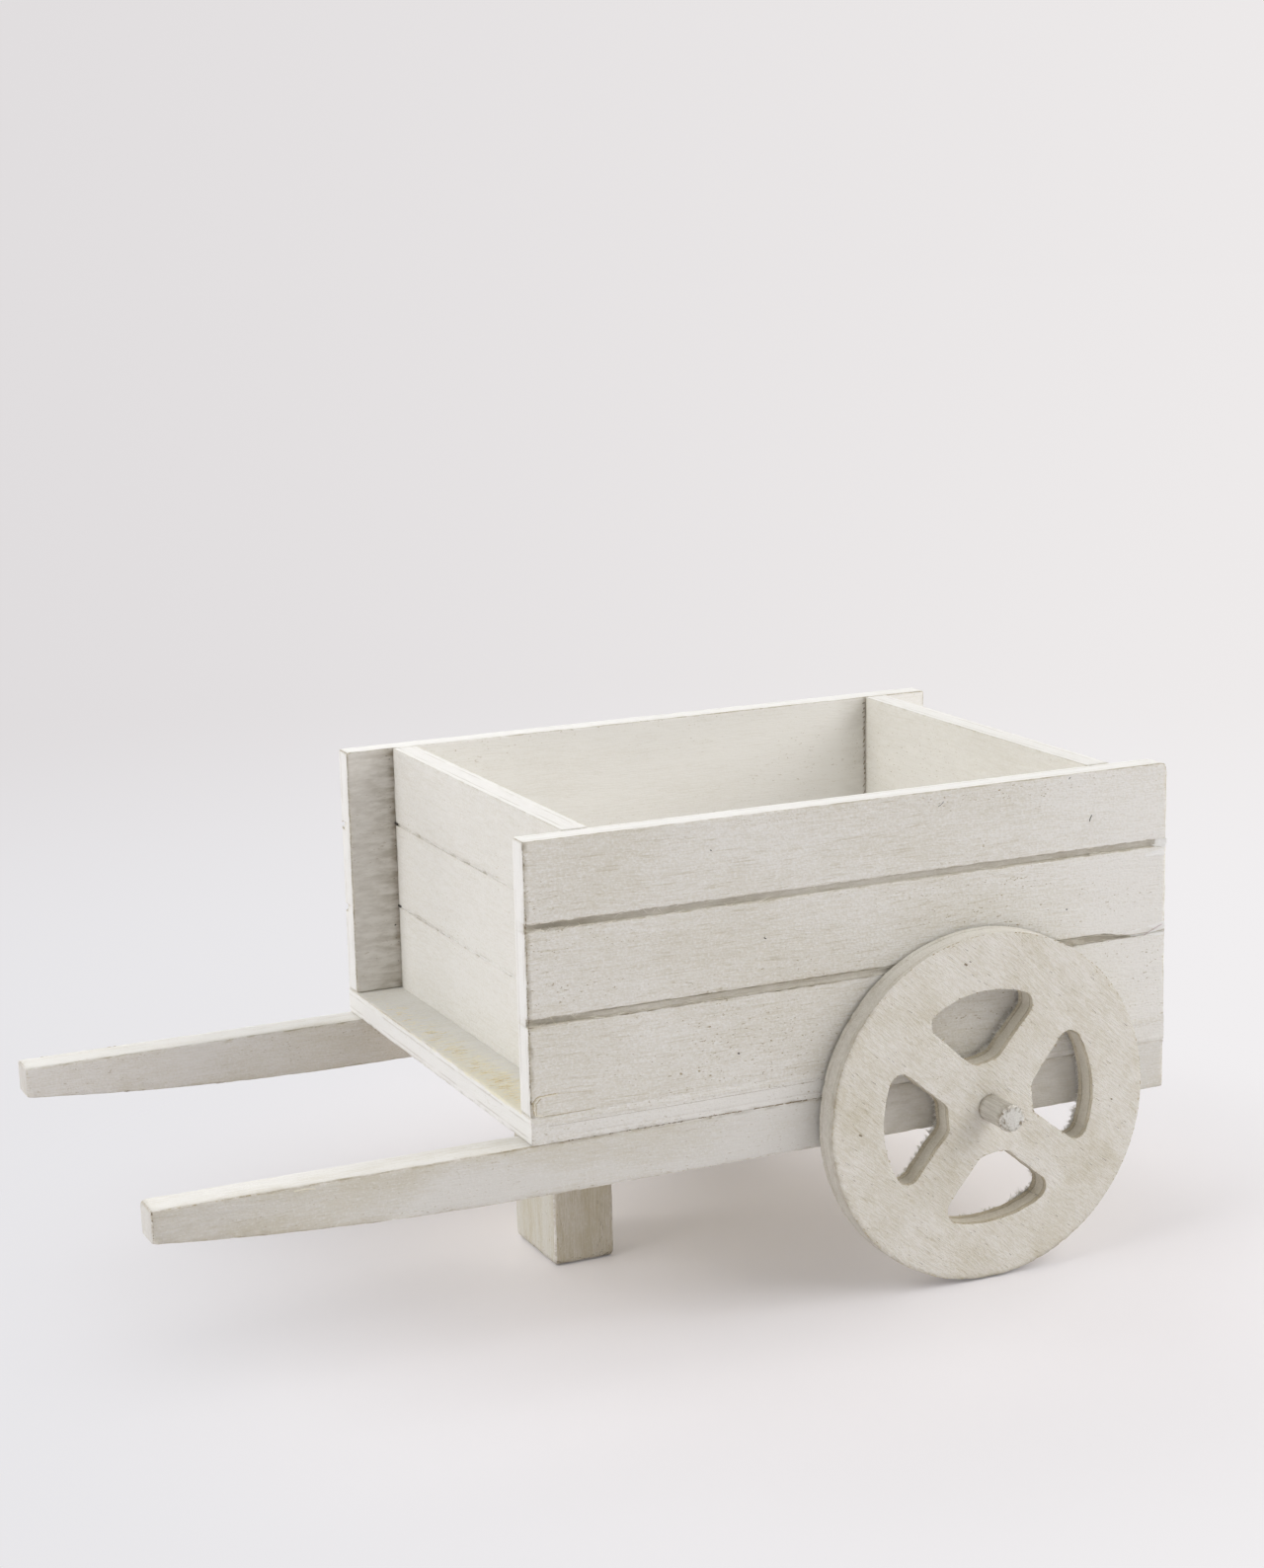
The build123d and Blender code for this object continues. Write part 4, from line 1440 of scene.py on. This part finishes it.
# %% Pores and scrapes on the leg
PORE_HEIGHTS = (0.9, 1.9, 2.6, 3.6, 4.4, 6.9, 7.4, 9.1, 12.5, 13.2, 17.8, 24.0)
near_y, inset = leg_high.y / MM, 0.8
pores = []
for height in PORE_HEIGHTS:
    x, z = 3.4 + luck.uniform(-0.8, 0.8), height + luck.uniform(-0.5, 0.5)
    upper = (x + luck.uniform(-0.1, 0.1), z + luck.uniform(0.3, 1.3))
    pores.append(line_at(near_y, luck.uniform(0.05, 0.09), (x, z), upper))
for _ in range(26):
    y, z = luck.uniform(leg_low.y / MM + inset, near_y - inset), luck.uniform(0.6, 1.6)
    top = z + luck.expovariate(1.2) if luck.random() < 0.5 else z + 0.2
    pores.append([(Vector((leg_high.x / MM - 0.06, y, height)) * MM, luck.uniform(0.05, 0.11) * MM)
                  for height in (z, min(top, 6.0))])
    x = luck.uniform(leg_low.x / MM + inset, leg_high.x / MM - inset)
    end = (x + luck.uniform(0.1, 0.8), z - 0.1)
    pores.append(line_at(near_y, luck.uniform(0.05, 0.11), (x, z), end, depth=0.06 * MM))
bunch("leg_pores", pores, "brown_bit", BATTEN)

# %% [markdown]
# A loose thread hangs at the rear end of the lower cut, a splinter stands on the near shaft, and the
# near wheel has a few small knots.

# %% Thread, splinter and knots
WHEEL_SIDE = 65
THREAD = [mark([(-115.3, 58.2, 72.9), (-117.6, 58.25, 74.0), (-120.2, 58.2, 74.9)], 0.06)]
SPLINTER = [line_at(SIDE, 0.20, (91.4, 46.1), (89.0, 46.2), (86.8, 45.9)),
            line_at(SIDE, 0.10, (90.2, 45.7), (88.2, 45.8))]
KNOTS = [line_at(WHEEL_SIDE, 0.24, (-63.1, 74.8), (-63.8, 74.4)),
         line_at(WHEEL_SIDE, 0.14, (-64.4, 75.2), (-64.8, 75.0)),
         line_at(WHEEL_SIDE, 0.22, (-36.2, 39.5), (-36.9, 39.1)),
         line_at(WHEEL_SIDE, 0.18, (-102.0, 37.5), (-102.4, 37.3))]
bunch("side_panel_left_thread", THREAD, "plum_fibre", PLYWOOD)
bunch("shaft_left_splinter", SPLINTER, "raw_fibre", BATTEN)
bunch("wheel_left_knots", KNOTS, "brown_bit", WHEEL)

# %% [markdown]
# ## Bruised corners
#
# The sawn ends of the dowel, the shaft tips and the front corners of the sides are bruised: the paint
# has come off in small brown spots. They are short lines as well, laid at random along the corners.

# %% Bruises on the dowel and the shafts
def dab(place, shift, width, end=0.6):
    """A spot that is drawn out by a shift and is narrower at its end."""
    return [(place, width), (place + shift, end * width)]


spots = []
for place in luck.sample(sawn_rim, 34):
    width = luck.uniform(0.07, 0.17) * MM
    place.y = math.copysign(min(abs(place.y), axle_high.y - 1.15 * width), place.y)
    spots.append(dab(place, jitter(0.25, 0.0, 0.25) * MM, width, end=0.7))
bunch("axle_spots", spots, "brown_bit", DOWEL)
for node, side in (("shaft_left", 1), ("shaft_right", -1)):
    spots, lines = [], []
    for _ in range(16):
        width = luck.uniform(0.08, 0.24) * MM
        place = Vector((120.9, side * 57.75, luck.uniform(40.3, 46.4))) * MM + jitter(0.1, 0.1, 0) * MM
        spots.append(dab(place, Vector((0, 0, luck.uniform(0.15, 0.6) * MM)), width))
        width = luck.uniform(0.05, 0.11) * MM
        x = luck.triangular(80, 119.5, 117)
        place = Vector((x, side * 57.8, 46.82)) * MM + jitter(0, 0.08, 0.08) * MM
        lines.append(dab(place, Vector((luck.uniform(0.3, 1.2) * MM, 0, 0)), width))
    bunch(node + "_spots", spots, "brown_bit", BATTEN)
    bunch(node + "_top_lines", lines, "tan_bit", BATTEN)

# %% Bruises on the front corners of the sides
for node, count, coat in (("side_panel_left", 96, "brown_bit"), ("side_panel_right", 24, "tan_bit")):
    spots = []
    for _ in range(count):
        width = luck.uniform(0.05, 0.12) * MM
        place = luck.choice(front_corners[node]) + jitter(0, 0, 1.1) * MM
        place.x = min(place.x, SIDE_FRONT - 1.2 * width)
        spots.append(dab(place, Vector((0, 0, luck.uniform(0.15, 0.7) * MM)), width))
    bunch(node + "_spots", spots, coat, PLYWOOD)

# %% [markdown]
# The wheels have lost bits of paint round the rim and the lips of the windows, and thin brown flecks
# lie along the grain of their faces. A fleck is left out where its end would hang over a window.

# %% Bits and flecks on the wheels
RIM_BITS, LIP_BITS, FLECKS, SKIN_GAP = 170, 120, 190, 0.7 * MM
for node, (rim, front_lip, skin) in wheel_skins.items():
    hub = (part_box(node)[0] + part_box(node)[1]) / 2
    bits, flecks = [], []
    for place in luck.sample(rim, RIM_BITS) + luck.sample(front_lip, LIP_BITS):
        out = Vector((place.x - hub.x, 0, place.z - hub.z)).normalized()
        width = luck.uniform(0.05, 0.12) * MM
        aside = out.cross(Vector((0, 1, 0))) * luck.uniform(0.15, 0.7) * MM
        bits.append([(place - out * width, width), (place + aside - out * width, 0.6 * width)])
    for place in luck.sample(skin, FLECKS):
        way = (GRAIN_WAY + jitter(0.12, 0, 0.12)) * luck.uniform(0.3, 1.5) * MM
        width = luck.uniform(0.03, 0.06) * MM
        if min((place + way - other).length for other in skin) < SKIN_GAP:
            flecks.append(dab(place, way, width, end=0.4))
    bunch(node + "_bits", bits, "tan_bit", WHEEL)
    bunch(node + "_flecks", flecks, "brown_bit", WHEEL)

# %% [markdown]
# ## Flakes at the rear end
#
# At the rear end of the near side the saw tore flakes of wood loose, and paint has closed the end of
# the upper cut. A flake is a small block that narrows towards the front. It is divided and roughened,
# so that it doesn't look like a block any more.

# %% Flakes
FLAKES = [((-117.3, 57.90, 92.0), (6.2, 0.9, 1.7), 3),
          ((-119.6, 57.55, 94.5), (3.0, 1.2, 1.7), 4),
          ((-119.2, 57.7, 93.7), (3.4, 0.8, 0.8), -8),
          ((-116.2, 57.80, 74.5), (9.4, 0.7, 1.3), 5),
          ((-116.6, 57.75, 72.9), (8.6, 0.6, 0.8), -4),
          ((-118.6, 57.85, 73.7), (4.6, 0.8, 0.7), 14)]
FRONT_SHARE, FLAKE_CUTS, ROUGHNESS = 0.2, 4, 0.26
chips = bmesh.new()
for middle, size, tilt in FLAKES:
    made = bmesh.ops.create_cube(chips, size=1.0)["verts"]
    for v in made:
        narrow = FRONT_SHARE if v.co.x > 0 else 1.0
        v.co = Vector((v.co.x * size[0], v.co.y * size[1] * narrow, v.co.z * size[2] * narrow)) * MM
    bmesh.ops.rotate(chips, verts=made, matrix=Matrix.Rotation(math.radians(tilt), 3, "Y"))
    bmesh.ops.translate(chips, verts=made, vec=Vector(middle) * MM)
bmesh.ops.subdivide_edges(chips, edges=chips.edges, cuts=FLAKE_CUTS, use_grid_fill=True)
for v in chips.verts:
    v.co += Vector([ripple(v.co, 0.8 * MM, 81 + axis) for axis in range(3)]) * ROUGHNESS * MM
    v.co.x = max(v.co.x, SIDE_REAR + 0.1 * MM)
bmesh.ops.recalc_face_normals(chips, faces=chips.faces)
finish_piece("side_panel_left_flakes", chips, ["white_edge"], PLYWOOD)
